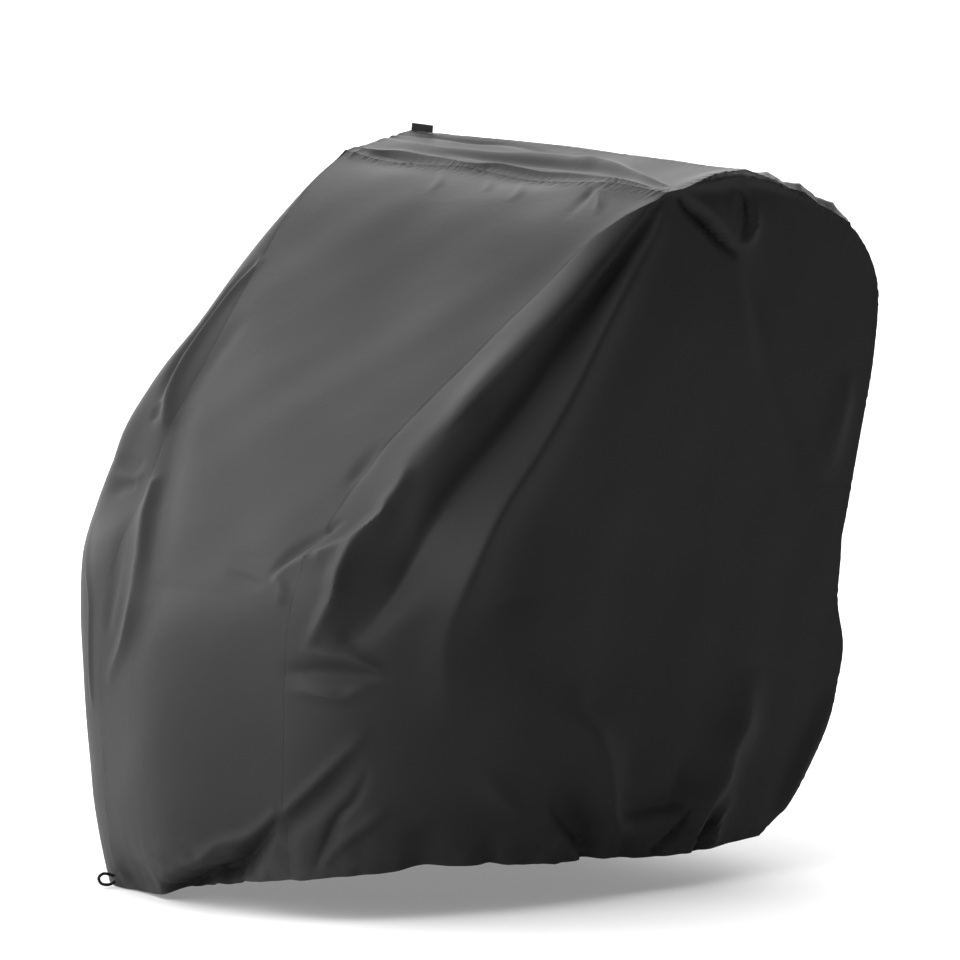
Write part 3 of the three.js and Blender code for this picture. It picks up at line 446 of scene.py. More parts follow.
        (0.02, 0, 0, 30), (0.1, 0, -7, 34), (0.2, 0, -8, 36), (0.35, 0, -4, 36), (0.45, 0, -5, 34),
        (0.6, 0, -8, 34), (0.7, 0, -3, 30), (0.77, 0, 2, 30), (0.85, 0, 4, 30), (0.95, 0, 1, 24),
    )),
    fold("far rear corner drawn in", "top", (
        (0, 1, 22, 60), (0.03, 1, 20, 60), (0.3, 1, 4, 60),
    ), way=(0, -1, -0.1)),
)

# How close the grid lines lie, as a density by share. Columns: share, density.
DOWN_DENSITY = ((0, 2.0), (0.08, 1.2), (0.4, 0.9), (0.5, 1.2), (0.78, 1.2), (0.86, 1.1), (1, 1.6))
TOP_DENSITY = ((0, 2.2), (0.2, 1.1), (1, 1.0))
SHOULDER_DENSITY = ((0, 1.0), (0.85, 0.9), (1, 2.2))
ACROSS_DENSITY = ((0, 2.6), (0.06, 1.2), (0.3, 0.85), (0.7, 0.85), (0.94, 1.2), (1, 2.6))
DOWN_STEPS = 250
TOP_STEPS = 84
SHOULDER_STEPS = 66
ACROSS_STEPS = 140
BASE_STEPS = (120, 160)  # the smooth grid on which the folds' lines are found
LINE_STEPS = 60  # steps of a level line round a side
SMOOTH_STEPS = 8  # steps between two rows of a table
DENSITY_STEPS = 2000  # steps over which a density is added up
SLOPE_STEP = 0.01  # share of a seam over which its slope is taken

# How a fold falls off: how many half widths it reaches, and a crisp fold's fall, eased at its crest.
FOLD_REACH = 3
CRISP_FALL = 1.8
CRISP_EASE = 0.02
CRISP_START = 0.1414

# The unevenness of the cloth and of its sewing. Lengths are in millimetres.
PHASE = 6.28  # the greatest random phase of a wave
WAVE_SCALES = (0.83, 1.0, 1.37)  # the pitches that make up an uneven wave
SWELL_SCALE = 9.3  # pitches after which an uneven wave swells again
RIPPLE_COUNT = 14
RIPPLE_LENGTHS = (90, 260)
GATHER_WAVES = ((31, 1), (53, 0.8), (89, 0.6))  # columns: waves round the cover, strength
GATHER_SWELLS = 5  # how often the gathers swell round the cover
SEEDS = {"ripples": 11, "gathers": 5, "stitches": 7, "left": 21, "right": 34, "front top": 55, "rear top": 89}

# How strongly the thread pulls each stretch of seam together.
PULL = {"front": 0.15, "edge": 0.8, "shoulder": 1.0, "rear": 0.3, "front top": 1.0, "rear top": 0.5}
PUCKER_PITCH = 15.0
PUCKER_REACH = 13.0
PUCKER_POWER = 1.4
GROOVE_REACH = 3.0
GATHER_REACH = 42.0
CORNER_FADE = 22.0
HEM_FADE = 1.6  # how steeply the hem's thickness falls off at the end of its casing
SHARP_ANGLE = math.radians(50)

# The loop at the nose's hem: where it leaves the cloth, which way it stands out, and its outline.
LOOP_FOOT = (-199.52, -457.72, 12.54)
LOOP_OUT = (-0.3285, -0.9445)
LOOP_CORD = 4.5
LOOP_REACH = 23.75
LOOP_HALF_RISE = 8.25
LOOP_HALF_SPREAD = 4
LOOP_OFF_CLOTH = 2.1
LOOP_TILT = 0.2
# Columns: share of the reach, share of the half rise.
LOOP_OUTLINE = ((0.3, 0.85), (0.65, 1), (0.95, 0.5), (1, -0.2), (0.85, -0.8), (0.5, -1), (0.2, -0.8))
LOOP_SIDES = 20
LOOP_STEPS = 150
LOOP_PATH_POINTS = 60
BRAID_RELIEF = 0.1  # share of the radius
BRAID_PLIES = 8
BRAID_TURN = 5  # radii of cord for one turn of the braid

# The bare label tab in the top rear seam.
LABEL_CORNER = (-348, 245, 1028.8)
LABEL_FROM_CORNER = 2
LABEL_WIDTH = 46
LABEL_HEIGHT = 11
LABEL_THICKNESS = 1.6
LABEL_LEAN = 8  # degrees
LABEL_CLEAR = 0.5
LABEL_COLUMNS = 40
LABEL_ROWS = 8
LABEL_FOLD_STEPS = 8
LABEL_FOOT_STEPS = 4
LABEL_WAVE = 0.5
LABEL_WAVES = 1.3
LABEL_WAVE_START = 0.6
LABEL_PINCH = 0.04  # share of the half width over which an end is pressed to half its thickness

# The rows of stitches on each panel. Columns: edge, distance from it in millimetres.
STITCH_ROWS = {
    "front": (("start", 3), ("end", 3), ("high", 3.2), ("low", 19)),
    "top": (),
    "rear": (("start", 3), ("end", 3), ("low", 3.2), ("high", 19)),
    "right": (("high", 3), ("low", 19)),
    "left": (("high", 3), ("low", 19)),
}
STITCH_RINGS = 5
STITCH_SIDES = 5
STITCH_FILL = 0.74  # share of the pitch that the thread shows
STITCH_TAPER = 0.93  # how near to a point a stitch's ends are drawn
STITCH_LIFT = 0.55  # how high a stitch's middle stands, in radii
STITCH_SINK = 1.7  # how deep a stitch may sink into the cloth, in radii
SUNK_RUN = 70  # millimetres of seam over which the stitches sink into the cloth and rise again

# The camera, the floor and the lights, in metres.
SENSOR = 36  # millimetres
CLIP_END = 200
FLOOR_REACH = 60.0
FLOOR_DROP = 0.0005  # how far the floor lies under the frame's zero
BACKDROP = (-0.78, 0.55, 0.3)  # the direction of the pale backdrop
BACKDROP_EDGE = (0.35, 0.95)  # the cosines at which the backdrop begins and is full
SEEN_SKY = 0.95  # how bright the backdrop looks to the camera
SUN_ANGLE = math.radians(80)
LIGHT_AIM = 0.55  # the height that the lamps point at
# Columns: kind, place, size.
LIGHTS = {
    "key": ("AREA", (0.1, -3.3, 2.1), 2.6),
    "left": ("AREA", (-2.6, -2.4, 2.3), 2.4),
    "overhead": ("SUN", (0, 0, 5), None),
}


def setting(label, text, default, **kind):
    """A number, or a row of three numbers, that is set in the sidebar."""
    make = bpy.props.FloatVectorProperty if isinstance(default, tuple) else bpy.props.FloatProperty
    return make(name=label, description=text, default=default, **kind)


class CoverCloth(bpy.types.PropertyGroup):
    """Sizes of the cloth and of its sewing."""

    thickness: setting("Thickness", "Thickness of the cloth", 0.0012, unit="LENGTH")
    hem_thickness: setting("Hem thickness", "Thickness of the hem with its elastic", 0.0032, unit="LENGTH")
    hem_casing: setting("Hem casing", "Height of the turned hem", 0.02, unit="LENGTH")
    seam_gap: setting("Seam gap", "Gap between two panels along a seam", 0.0003, unit="LENGTH")
    seam_depth: setting("Seam depth", "How deep a seam lies in the cloth", 0.0002, unit="LENGTH")
    pucker: setting("Pucker", "Height of the puckers along a seam", 0.0014, unit="LENGTH")
    gather: setting("Gather", "Height of the gathers at the hem", 0.0022, unit="LENGTH")
    ripple: setting("Ripple", "Height of the cloth's own unevenness", 0.0006, unit="LENGTH")
    stitch_pitch: setting("Stitch pitch", "Length of one stitch and its gap", 0.0044, unit="LENGTH")
    thread: setting("Thread", "Diameter of the thread", 0.0008, unit="LENGTH")


class CoverFinish(bpy.types.PropertyGroup):
    """Colours of the cover."""

    cloth: setting("Cloth", "Colour of the coated cloth", (0.0225, 0.0225, 0.0229), subtype="COLOR")
    thread: setting("Thread", "Colour of the thread", (0.022, 0.022, 0.0225), subtype="COLOR")
    trim: setting("Trim", "Colour of the label tab and the loop", (0.008, 0.008, 0.0085), subtype="COLOR")


class CoverStage(bpy.types.PropertyGroup):
    """The camera, the floor and the lights."""

    azimuth: setting("Azimuth", "Side the camera looks from", math.radians(48), subtype="ANGLE")
    elevation: setting(
        "Elevation", "How far above the camera looks from", math.radians(7.92), subtype="ANGLE")
    distance: setting("Distance", "From the camera to its target", 25, unit="LENGTH")
    view_width: setting("View width", "Width of the view at the target", 1.392, unit="LENGTH")
    target: setting("Target", "Point the camera looks at", (-0.02847, 0.0943, 0.55844), unit="LENGTH")
    floor: setting("Floor", "Colour of the floor", (0.72, 0.72, 0.72), subtype="COLOR")
    sky: setting("Sky", "Strength of the light from all round", 0.025)
    glow: setting("Glow", "Strength of the pale backdrop behind", 3.6)
    overhead: setting("Overhead", "Strength of the light from above", 0.75)
    key: setting("Key", "Power of the light at the front", 132, unit="POWER")
    left: setting("Left", "Power of the light at the left", 112, unit="POWER")


def smooth_rows(rows):
    """A table's rows with smooth steps between them: a uniform Catmull-Rom line whose ends are reflected."""
    rows = np.asarray(rows, float)
    padded = np.vstack([2 * rows[0] - rows[1], rows, 2 * rows[-1] - rows[-2]])
    t = np.arange(SMOOTH_STEPS) / SMOOTH_STEPS
    weights = np.stack([
        -0.5 * t + t**2 - 0.5 * t**3,
        1 - 2.5 * t**2 + 1.5 * t**3,
        0.5 * t + 2 * t**2 - 1.5 * t**3,
        -0.5 * t**2 + 0.5 * t**3,
    ], -1)
    parts = [weights @ padded[n:n + 4] for n in range(len(rows) - 1)]
    return np.vstack(parts + [rows[-1:]])


def table_at(rows, share):
    """The columns of a table at shares of its first column, straight between its rows."""
    return np.stack([np.interp(share, rows[:, 0], column) for column in rows.T[1:]], -1)


def run_of(points, axis=0):
    """The length run along one axis of a grid of points, from 0 at its start."""
    steps = np.linalg.norm(np.diff(points, axis=axis), axis=-1)
    return np.concatenate([np.zeros_like(steps.take([0], axis)), np.cumsum(steps, axis)], axis)


def unit(vectors):
    """Vectors of length one."""
    return vectors / np.maximum(np.linalg.norm(vectors, axis=-1, keepdims=True), 1e-12)


def soft_step(value):
    """A smooth step from 0 to 1: three times the square less twice the cube of the share."""
    value = np.clip(value, 0, 1)
    return value * value * (3 - 2 * value)


class EvenLine:
    """A line of points that gives the place at any share of its own length."""

    def __init__(self, points):
        self.points = points
        run = run_of(points)
        self.whole = run[-1]
        self.shares = run / self.whole

    def __call__(self, share):
        share = np.clip(share, 0, 1)
        return np.stack([np.interp(share, self.shares, column) for column in self.points.T], -1)


FRONT_LINE = EvenLine(smooth_rows(FRONT_SEAM))
REAR_LINE = EvenLine(smooth_rows(REAR_SEAM))
CORNER_ROWS = smooth_rows(CORNER_TURN)
CROWN_ROWS = smooth_rows(CROWN)
HEM_ROWS = {panel: smooth_rows(rows) for panel, rows in HEM.items()}
MIRROR = np.array([-1.0, 1.0, 1.0])


def hung(points, hem, panel, share):
    """Draws the lower cloth up or down to hang its hem at the table's height, fading out at HEM_REACH."""
    want = table_at(HEM_ROWS[panel], share)[:, 0]
    near = soft_step((HEM_REACH - points[..., 2]) / (HEM_REACH - hem[:, None]))
    points = points.copy()
    points[..., 2] += (want - hem)[:, None] * near
    return points


def crowned(seam, across, down, crown, side):
    """Straight across between a seam and its mirror, pushed out by a parabola that is greatest half-way."""
    at = seam(down)
    way = seam(down + SLOPE_STEP) - seam(down - SLOPE_STEP)
    out = unit(np.stack([np.zeros(len(down)), side * way[:, 2], -side * way[:, 1]], -1))
    share = across[:, None, None]
    return at * MIRROR * (1 - share) + at * share + out * (4 * share * (1 - share) * crown[None, :, None])


def band_panel(panel, seam, column, side, across, down):
    """The front or rear panel as a crowned sheet between its two seams, hung from them."""
    bottom = np.ones(1)
    points = crowned(seam, across, down, table_at(CROWN_ROWS, down)[:, column], side)
    hem = crowned(seam, across, bottom, table_at(CROWN_ROWS, bottom)[:, column], side)[:, 0, 2]
    return hung(points, hem, panel, across)


def front_panel(across, down):
    """The front panel, from the top edge down the slope and over the nose."""
    return band_panel("front", FRONT_LINE, 0, 1, across, down)


def rear_panel(across, down):
    """The rear panel, from the top edge round the rear shoulder and down."""
    return band_panel("rear", REAR_LINE, 1, -1, across, down)


def top_panel(across, back):
    """The top panel, ruled straight from the front panel's upper edge to the rear panel's."""
    start = front_panel(across, np.zeros(1))
    end = rear_panel(across, np.zeros(1))
    return start + (end - start) * back[None, :, None]


def over_edge(along):
    """A side panel's upper edge: the top edge, then the rear seam as far as the rear shoulder."""
    corner = REAR_LINE(0)
    top = FRONT_LINE(0) + (corner - FRONT_LINE(0)) * np.clip(along / TOP_SHARE, 0, 1)[:, None]
    rear = REAR_LINE(SHOULDER_SHARE * (along - TOP_SHARE) / (1 - TOP_SHARE))
    return top + rear - corner


def level_lines(along, down):
    """Cubic Bezier level lines from the front seam round the nose corner to the rear seam, by even length."""
    start = FRONT_LINE(down)
    end = REAR_LINE(SHOULDER_SHARE + (1 - SHOULDER_SHARE) * down)
    turn = table_at(CORNER_ROWS, down)
    rise = (end[:, 2] - start[:, 2]) / 3
    shoulder = np.stack([turn[:, 0], start[:, 1] + turn[:, 1], start[:, 2] + rise], -1)
    flank = np.stack([turn[:, 2], start[:, 1] + turn[:, 3], end[:, 2] - rise], -1)
    t = np.linspace(0, 1, LINE_STEPS + 1)[:, None]
    weights = ((1 - t) ** 3, 3 * (1 - t) ** 2 * t, 3 * (1 - t) * t**2, t**3)
    ends = (start, shoulder, flank, end)
    lines = sum(weight[None] * point[:, None] for weight, point in zip(weights, ends))
    return np.stack([EvenLine(line)(along) for line in lines], 1)


def side_raw(along, down):
    """A side panel on its level lines, drawn up to its upper edge by a power of the height."""
    lift = over_edge(along) - level_lines(along, np.zeros(1))[:, 0]
    return level_lines(along, down) + lift[:, None] * ((1 - down) ** DRAW_UP)[None, :, None]


def right_panel(along, down, panel="right"):
    """The side panel on the +X side, with its hem hung at the table's heights."""
    return hung(side_raw(along, down), side_raw(along, np.ones(1))[:, 0, 2], panel, along)


def left_panel(along, down):
    """The side panel on the -X side: the other one's mirror with a hem of its own."""
    return right_panel(along, down, "left") * MIRROR


PANELS = {
    "front": front_panel,
    "top": top_panel,
    "rear": rear_panel,
    "right": right_panel,
    "left": left_panel,
}
TURNED = {"front": -1, "top": 1, "rear": 1, "right": -1, "left": 1}
GRID_TURNED = {"band": 1, "right": 1, "left": -1}


def grid_normals(points, turn):
    """The directions square to a grid of points: the cross product of its two slopes."""
    return unit(np.cross(np.gradient(points, axis=0), np.gradient(points, axis=1)) * turn)


def sampled(grid, across, down):
    """A grid over the unit square read at shares across and down, straight between its points."""
    last = np.array(grid.shape[:2]) - 1
    place = np.stack([across, down], -1) * last
    low = np.clip(np.floor(place).astype(int), 0, last - 1)
    part = (place - low)[..., None]
    i, k = low[:, 0], low[:, 1]
    near = grid[i, k] * (1 - part[:, 1]) + grid[i, k + 1] * part[:, 1]
    far = grid[i + 1, k] * (1 - part[:, 1]) + grid[i + 1, k + 1] * part[:, 1]
    return near * (1 - part[:, 0]) + far * part[:, 0]


def fold_lines():
    """Each fold as a smooth line of places on its panel's smooth surface, with the way out of the cloth."""
    shares = [np.linspace(0, 1, steps + 1) for steps in BASE_STEPS]
    smooth = {name: panel(*shares) for name, panel in PANELS.items()}
    square = {name: grid_normals(points, TURNED[name]) for name, points in smooth.items()}
    lines = []
    for row in FOLDS:
        across, down, height, half = smooth_rows(row["points"]).T
        across, down = np.clip(across, 0, 1), np.clip(down, 0, 1)
        out = unit(sampled(square[row["panel"]], across, down))
        push = np.broadcast_to(row["way"], out.shape) if row["way"] else out
        at = sampled(smooth[row["panel"]], across, down)
        lines.append((at, out, push, height, half, row["crisp"], row["lean"]))
    return lines


def folded(points, lines):
    """Pushes points by each fold's height times a bell of the distance from its line.

    A round fold is exp(-q^2), with q the distance over the half width. A crisp one is exp(-1.8 q), eased
    at its crest. The half width changes by the lean from the fold's right side to its left.
    """
    flat = points.reshape(-1, 3)
    moved = flat.copy()
    for at, out, push, height, half, crisp, lean in lines:
        reach = FOLD_REACH * half.max() * max(lean, 1)
        near = np.flatnonzero(((flat > at.min(0) - reach) & (flat < at.max(0) + reach)).all(1))
        if not len(near):
            continue
        here = flat[near]
        gap = np.full(len(near), np.inf)
        shift = np.zeros((len(near), 3))
        share = np.zeros(len(near))
        for n in range(len(at) - 1):
            way = at[n + 1] - at[n]
            part = np.clip((here - at[n]) @ way / (way @ way), 0, 1)[:, None]
            off = here - at[n] - part * way
            away = np.linalg.norm(off, axis=1)
            best = away < gap
            gap[best] = away[best]
            part, off, away = part[best], off[best], away[best]
            aim = push[n] + (push[n + 1] - push[n]) * part
            shift[best] = aim * (height[n] + (height[n + 1] - height[n]) * part)
            left = off @ unit(np.cross(out[n] + out[n + 1], way)) / np.maximum(away, 1e-9)
            wide = (half[n] + (half[n + 1] - half[n]) * part[:, 0]) * (1 + (lean - 1) * (1 + left) / 2)
            share[best] = away / wide
        sharp = np.exp(-CRISP_FALL * (np.sqrt(share**2 + CRISP_EASE) - CRISP_START))
        bell = (1 - crisp) * np.exp(-share**2) + crisp * sharp
        moved[near] += shift * bell[:, None]
    return moved.reshape(points.shape)


def crowded(steps, density):
    """Shares from 0 to 1 that lie closer where the density is greater."""
    rows = np.asarray(density, float)
    share = np.linspace(0, 1, DENSITY_STEPS + 1)
    weight = np.interp(share, rows[:, 0], rows[:, 1])
    run = np.concatenate([[0], np.cumsum((weight[1:] + weight[:-1]) / 2)])
    return np.interp(np.linspace(0, 1, steps + 1), run / run[-1], share)


def swell(turn):
    """A strength that swells and fades between a fifth and the whole: 0.6 plus 0.4 times a sine."""
    return 0.6 + 0.4 * np.sin(turn)


def uneven_wave(run, pitch, seed):
    """Three sine waves of nearly one pitch, whose sum swells and fades along its run."""
    draw = np.random.default_rng(SEEDS[seed])
    turn = 2 * np.pi * run
    wave = sum(np.sin(turn / (pitch * scale) + draw.uniform(0, PHASE)) for scale in WAVE_SCALES)
    return wave / 2 * swell(turn / (pitch * SWELL_SCALE) + draw.uniform(0, PHASE))


def ripples(points):
    """Low soft unevenness: plane waves in all directions, 90 to 260 mm long."""
    draw = np.random.default_rng(SEEDS["ripples"])
    ways = unit(draw.normal(size=(RIPPLE_COUNT, 3)))
    lengths = draw.uniform(*RIPPLE_LENGTHS, RIPPLE_COUNT)
    phases = draw.uniform(0, PHASE, RIPPLE_COUNT)
    total = np.zeros(points.shape[:-1])
    for way, length, phase in zip(ways, lengths, phases):
        total += np.sin(2 * np.pi * (points @ way) / length + phase)
    return total / math.sqrt(RIPPLE_COUNT / 2)


def gathers(points):
    """The hem's gathers as waves round the upright axis, a few of them stronger than the rest."""
    draw = np.random.default_rng(SEEDS["gathers"])
    turn = np.arctan2(points[..., 1], points[..., 0])
    waves = sum(size * np.sin(count * turn + draw.uniform(0, PHASE)) for count, size in GATHER_WAVES)
    return waves * swell(GATHER_SWELLS * turn + draw.uniform(0, PHASE))


class SewnCloth:
    """The whole cover as grids of points: a band from hem to hem over the top, and two sides."""

    def __init__(self, cloth):
        self.cloth = cloth
        lines = fold_lines()
        top = crowded(TOP_STEPS, TOP_DENSITY)
        shoulder = crowded(SHOULDER_STEPS, SHOULDER_DENSITY)
        across = crowded(ACROSS_STEPS, ACROSS_DENSITY)
        fall = crowded(DOWN_STEPS, DOWN_DENSITY)
        rise = fall[::-1]
        along = np.concatenate([top * TOP_SHARE, TOP_SHARE + (1 - TOP_SHARE) * shoulder[1:]])
        lower = SHOULDER_SHARE + (1 - SHOULDER_SHARE) * fall
        self.over = DOWN_STEPS
        self.back = DOWN_STEPS + TOP_STEPS
        self.corners = [self.over, self.back, self.back + SHOULDER_STEPS]
        self.end = self.corners[-1] + DOWN_STEPS
        band = np.concatenate([
            front_panel(across, rise),
            top_panel(across, top)[:, 1:],
            rear_panel(across, SHOULDER_SHARE * shoulder)[:, 1:],
            rear_panel(across, lower)[:, 1:],
        ], 1)
        self.smooth = {"band": band, "right": right_panel(along, rise), "left": left_panel(along, rise)}
        self.points = {name: folded(grid, lines) for name, grid in self.smooth.items()}
        self.face_out()
        self.measure()
        self.sew()
        self.face_out()

    def face_out(self):
        """The directions out of the cloth. Along a seam both panels share one: the mean of their two."""
        self.normals = {name: grid_normals(grid, GRID_TURNED[name]) for name, grid in self.points.items()}
        band = self.normals["band"]
        for name, edge in (("right", -1), ("left", 0)):
            side = self.normals[name]
            columns = side.shape[0] - 1
            for pick, rows in (
                ((0, slice(None)), np.arange(self.over + 1)),
                ((slice(None), self.over), self.over + np.arange(columns + 1)),
                ((-1, slice(None)), self.end - np.arange(self.over + 1)),
            ):
                shared = unit(side[pick] + band[edge, rows])
                side[pick] = shared
                band[edge, rows] = shared

    def measure(self):
        """The run along each seam and the distance of every point from each seam and from the hem."""
        band = self.points["band"]
        self.edge_run = {"right": run_of(band[-1]), "left": run_of(band[0])}
        across, fall = run_of(band, 0), run_of(band, 1)
        self.seams = {"band": [
            ("left", self.edge_run["left"][None], across),
            ("right", self.edge_run["right"][None], across[-1:] - across),
            ("front top", across[:, [self.over]], np.abs(fall - fall[:, [self.over]])),
            ("rear top", across[:, [self.back]], np.abs(fall - fall[:, [self.back]])),
        ]}
        self.hem_gap = {"band": np.minimum(fall, fall[:, -1:] - fall)}
        self.cloth_run = {"band": (across, fall)}
        for name in ("right", "left"):
            side = self.points[name]
            along, rise = run_of(side, 0), run_of(side, 1)
            run = self.edge_run[name]
            columns = np.arange(side.shape[0])
            self.seams[name] = [
                (name, run[None, :self.over + 1], along),
                (name, run[self.over + columns][:, None], rise[:, -1:] - rise),
                (name, run[self.end - np.arange(self.over + 1)][None], along[-1:] - along),
            ]
            self.hem_gap[name] = rise
            self.cloth_run[name] = (along, rise)

    def pull(self, seam, run):
        """How strongly one seam is pulled together along its run."""
        if seam not in self.edge_run:
            return np.full(run.shape, PULL[seam])
        stretch = [PULL[name] for name in ("front", "edge", "shoulder", "rear")]
        total = stretch[0]
        for at, low, high in zip(self.edge_run[seam][self.corners], stretch, stretch[1:]):
            total = total + soft_step((run - at) / (2 * CORNER_FADE) + 0.5) * (high - low)
        return total

    def pucker_height(self, seam, run):
        """The puckers of one seam, faded out where it meets another."""
        wave = uneven_wave(run, PUCKER_PITCH, seam)
        corners = (run.min(), run.max())
        if seam in self.edge_run:
            corners = self.edge_run[seam][self.corners]
        for corner in corners:
            wave = wave * soft_step(np.abs(run - corner) / CORNER_FADE)
        return wave

    def sew(self):
        """Sinks the seams, puckers the cloth beside them, gathers the hem and adds the cloth's ripples."""
        self.way, self.gap, self.tug = {}, {}, {}
        for name, grid in self.points.items():
            shape = grid.shape[:2]
            lift = self.cloth.ripple / MM * ripples(self.smooth[name])
            fade = np.exp(-self.hem_gap[name] / GATHER_REACH)
            lift += self.cloth.gather / MM * gathers(self.smooth[name]) * fade
            nearest = np.full(shape, np.inf)
            way, tug = np.zeros(shape), np.zeros(shape)
            for seam, run, gap in self.seams[name]:
                pull = self.pull(seam, run)
                waves = self.pucker_height(seam, run) * pull
                lift += self.cloth.pucker / MM * waves * np.exp(-((gap / PUCKER_REACH) ** PUCKER_POWER))
                closer = gap < nearest
                way = np.where(closer, np.broadcast_to(run, shape), way)
                tug = np.where(closer, np.broadcast_to(pull, shape), tug)
                nearest = np.where(closer, gap, nearest)
            lift -= self.cloth.seam_depth / MM * np.exp(-((nearest / GROOVE_REACH) ** 2))
            self.points[name] = grid + self.normals[name] * lift[..., None]
            self.way[name], self.gap[name], self.tug[name] = way, nearest, tug

    def panel(self, name):
        """One panel's points, directions, and the run along and distance from its nearest seam."""
        if name in ("right", "left"):
            part, source = slice(None), name
        else:
            spans = {"front": (0, self.over), "top": (self.over, self.back), "rear": (self.back, self.end)}
            part, source = slice(spans[name][0], spans[name][1] + 1), "band"
        pick = (slice(None), part)
        layers = {
            "points": self.points, "normals": self.normals, "hem": self.hem_gap,
            "way": self.way, "gap": self.gap, "tug": self.tug,
        }
        across, rise = self.cloth_run[source]
        return {
            **{key: grids[source][pick] for key, grids in layers.items()},
            "across": across[pick],
            "rise": rise[pick],
            "turn": -1 if name == "left" else 1,
        }


# Which edges of a panel's grid are sewn: its start and end across, its low and high rows.
SEWN = {
    "front": ("start", "end", "high"),
    "top": ("start", "end", "low", "high"),
    "rear": ("start", "end", "low"),
    "right": ("start", "end", "high"),
    "left": ("start", "end", "high"),
}
NODES = {
    "front": "front_panel",
    "top": "top_panel",
    "rear": "rear_panel",
    "right": "side_panel_right",
    "left": "side_panel_left",
}


def drawn_back(points, sewn, gap):
    """Moves each sewn edge half the seam gap into the panel, square to the edge."""
    points = points.copy()
    for edge in sewn:
        pick = {
            "start": ((0, slice(None)), (1, slice(None))),
            "end": ((-1, slice(None)), (-2, slice(None))),
            "low": ((slice(None), 0), (slice(None), 1)),
            "high": ((slice(None), -1), (slice(None), -2)),
        }[edge]
        line, inner = points[pick[0]], points[pick[1]]
        way = unit(np.gradient(line, axis=0))
        inside = inner - line
        inside = unit(inside - way * (inside * way).sum(-1, keepdims=True))
        points[pick[0]] = line + inside * gap / 2
    return points


def ring_faces(rings, sides):
    """The quads of a tube of closed rings, one after another."""
    place = np.arange(rings * sides).reshape(rings, sides)
    after = np.roll(place, -1, 1)
    return np.stack([place[:-1], after[:-1], after[1:], place[1:]], -1).reshape(-1, 4)


def sheet_faces(columns, rows, turn):
    """The quads of an outer skin, an inner skin and the rim between them, on one grid of places."""
    count = columns * rows
    place = np.arange(count).reshape(columns, rows)
    skin = np.stack([place[:-1, :-1], place[1:, :-1], place[1:, 1:], place[:-1, 1:]], -1).reshape(-1, 4)
    edge = np.concatenate([place[:-1, 0], place[-1, :-1], place[:0:-1, -1], place[0, :0:-1]])
    after = np.roll(edge, -1)
    rim = np.stack([after, edge, edge + count, after + count], -1)
    faces = np.concatenate([skin, (skin + count)[:, ::-1], rim])
    return faces if turn > 0 else faces[:, ::-1]


UV_MAP = "ClothRun"


def put_mesh(name, points, faces, smooth=True):
    """A new object at the origin with these points, in metres, and these faces of one size."""
    mesh = bpy.data.meshes.new(name)
    faces = np.ascontiguousarray(faces, np.int32)
    mesh.vertices.add(len(points))
    mesh.vertices.foreach_set("co", np.ascontiguousarray(points, np.float32).ravel())
    mesh.loops.add(faces.size)
    mesh.loops.foreach_set("vertex_index", faces.ravel())
    mesh.polygons.add(len(faces))
    mesh.polygons.foreach_set("loop_start", np.arange(0, faces.size, faces.shape[1], dtype=np.int32))
    mesh.update(calc_edges=True)
    mesh.validate()
    mesh.polygons.foreach_set("use_smooth", np.full(len(mesh.polygons), smooth))
    made = bpy.data.objects.new(name, mesh)
    bpy.context.scene.collection.objects.link(made)
    return made


def put_uv(made, uv):
    """A UV map from one pair of numbers for each point."""
    mesh = made.data
    corner = np.zeros(len(mesh.loops), np.int32)
    mesh.loops.foreach_get("vertex_index", corner)
    layer = mesh.uv_layers.new(name=UV_MAP)
    layer.uv.foreach_set("vector", np.ascontiguousarray(uv[corner], np.float32).ravel())


def put_value(made, name, values):
    """A number for each point, as an attribute."""
    layer = made.data.attributes.new(name, "FLOAT", "POINT")
    layer.data.foreach_set("value", np.ascontiguousarray(values, np.float32).ravel())


def drape(cover, name):
    """One panel as a closed sheet: the grid, its inside a thickness below, and a rim. The hem is thicker."""
    cloth = cover.cloth
    part = cover.panel(name)
    points, normals = part["points"] * MM, part["normals"]
    depth = np.full(points.shape[:2], cloth.thickness)
    if name != "top":
        hem = soft_step(HEM_FADE - HEM_FADE * part["hem"] * MM / cloth.hem_casing)
        depth += (cloth.hem_thickness - cloth.thickness) * hem
    inside = points - normals * depth[..., None]
    skins = [drawn_back(skin, SEWN[name], cloth.seam_gap) for skin in (points, inside)]
    columns, rows = points.shape[:2]
    made = put_mesh(f"{NODES[name]}_cloth", np.concatenate([skin.reshape(-1, 3) for skin in skins]),
                    sheet_faces(columns, rows, part["turn"]))
    made.data.set_sharp_from_angle(angle=SHARP_ANGLE)
    run = np.stack([part["across"], part["rise"]], -1).reshape(-1, 2) * MM
    put_uv(made, np.concatenate([run, run]))
    for layer, scale in (("way", MM), ("gap", MM), ("tug", 1)):
        values = part[layer].ravel() * scale
        put_value(made, f"seam_{layer}", np.concatenate([values, values]))
    return made


# Shader node helpers

def new_group(name, inputs, outputs):
    """A shader node group with named sockets. An input's default is a number, or None for a vector."""
    group = bpy.data.node_groups.new(name, "ShaderNodeTree")
    for label, default in inputs.items():
        kind = "NodeSocketVector" if default is None else "NodeSocketFloat"
        socket = group.interface.new_socket(name=label, in_out="INPUT", socket_type=kind)
        if default is not None:
            socket.default_value = default
    for label in outputs:
        group.interface.new_socket(name=label, in_out="OUTPUT", socket_type="NodeSocketFloat")
    return group, group.nodes.new("NodeGroupInput").outputs, group.nodes.new("NodeGroupOutput")


def plug(tree, made, values):
    """Sets a node's inputs to values, or links them to other nodes' outputs."""
    for key, value in values.items():
        if isinstance(value, bpy.types.NodeSocket):
            tree.links.new(value, made.inputs[key])
        else:
            made.inputs[key].default_value = value
    return made


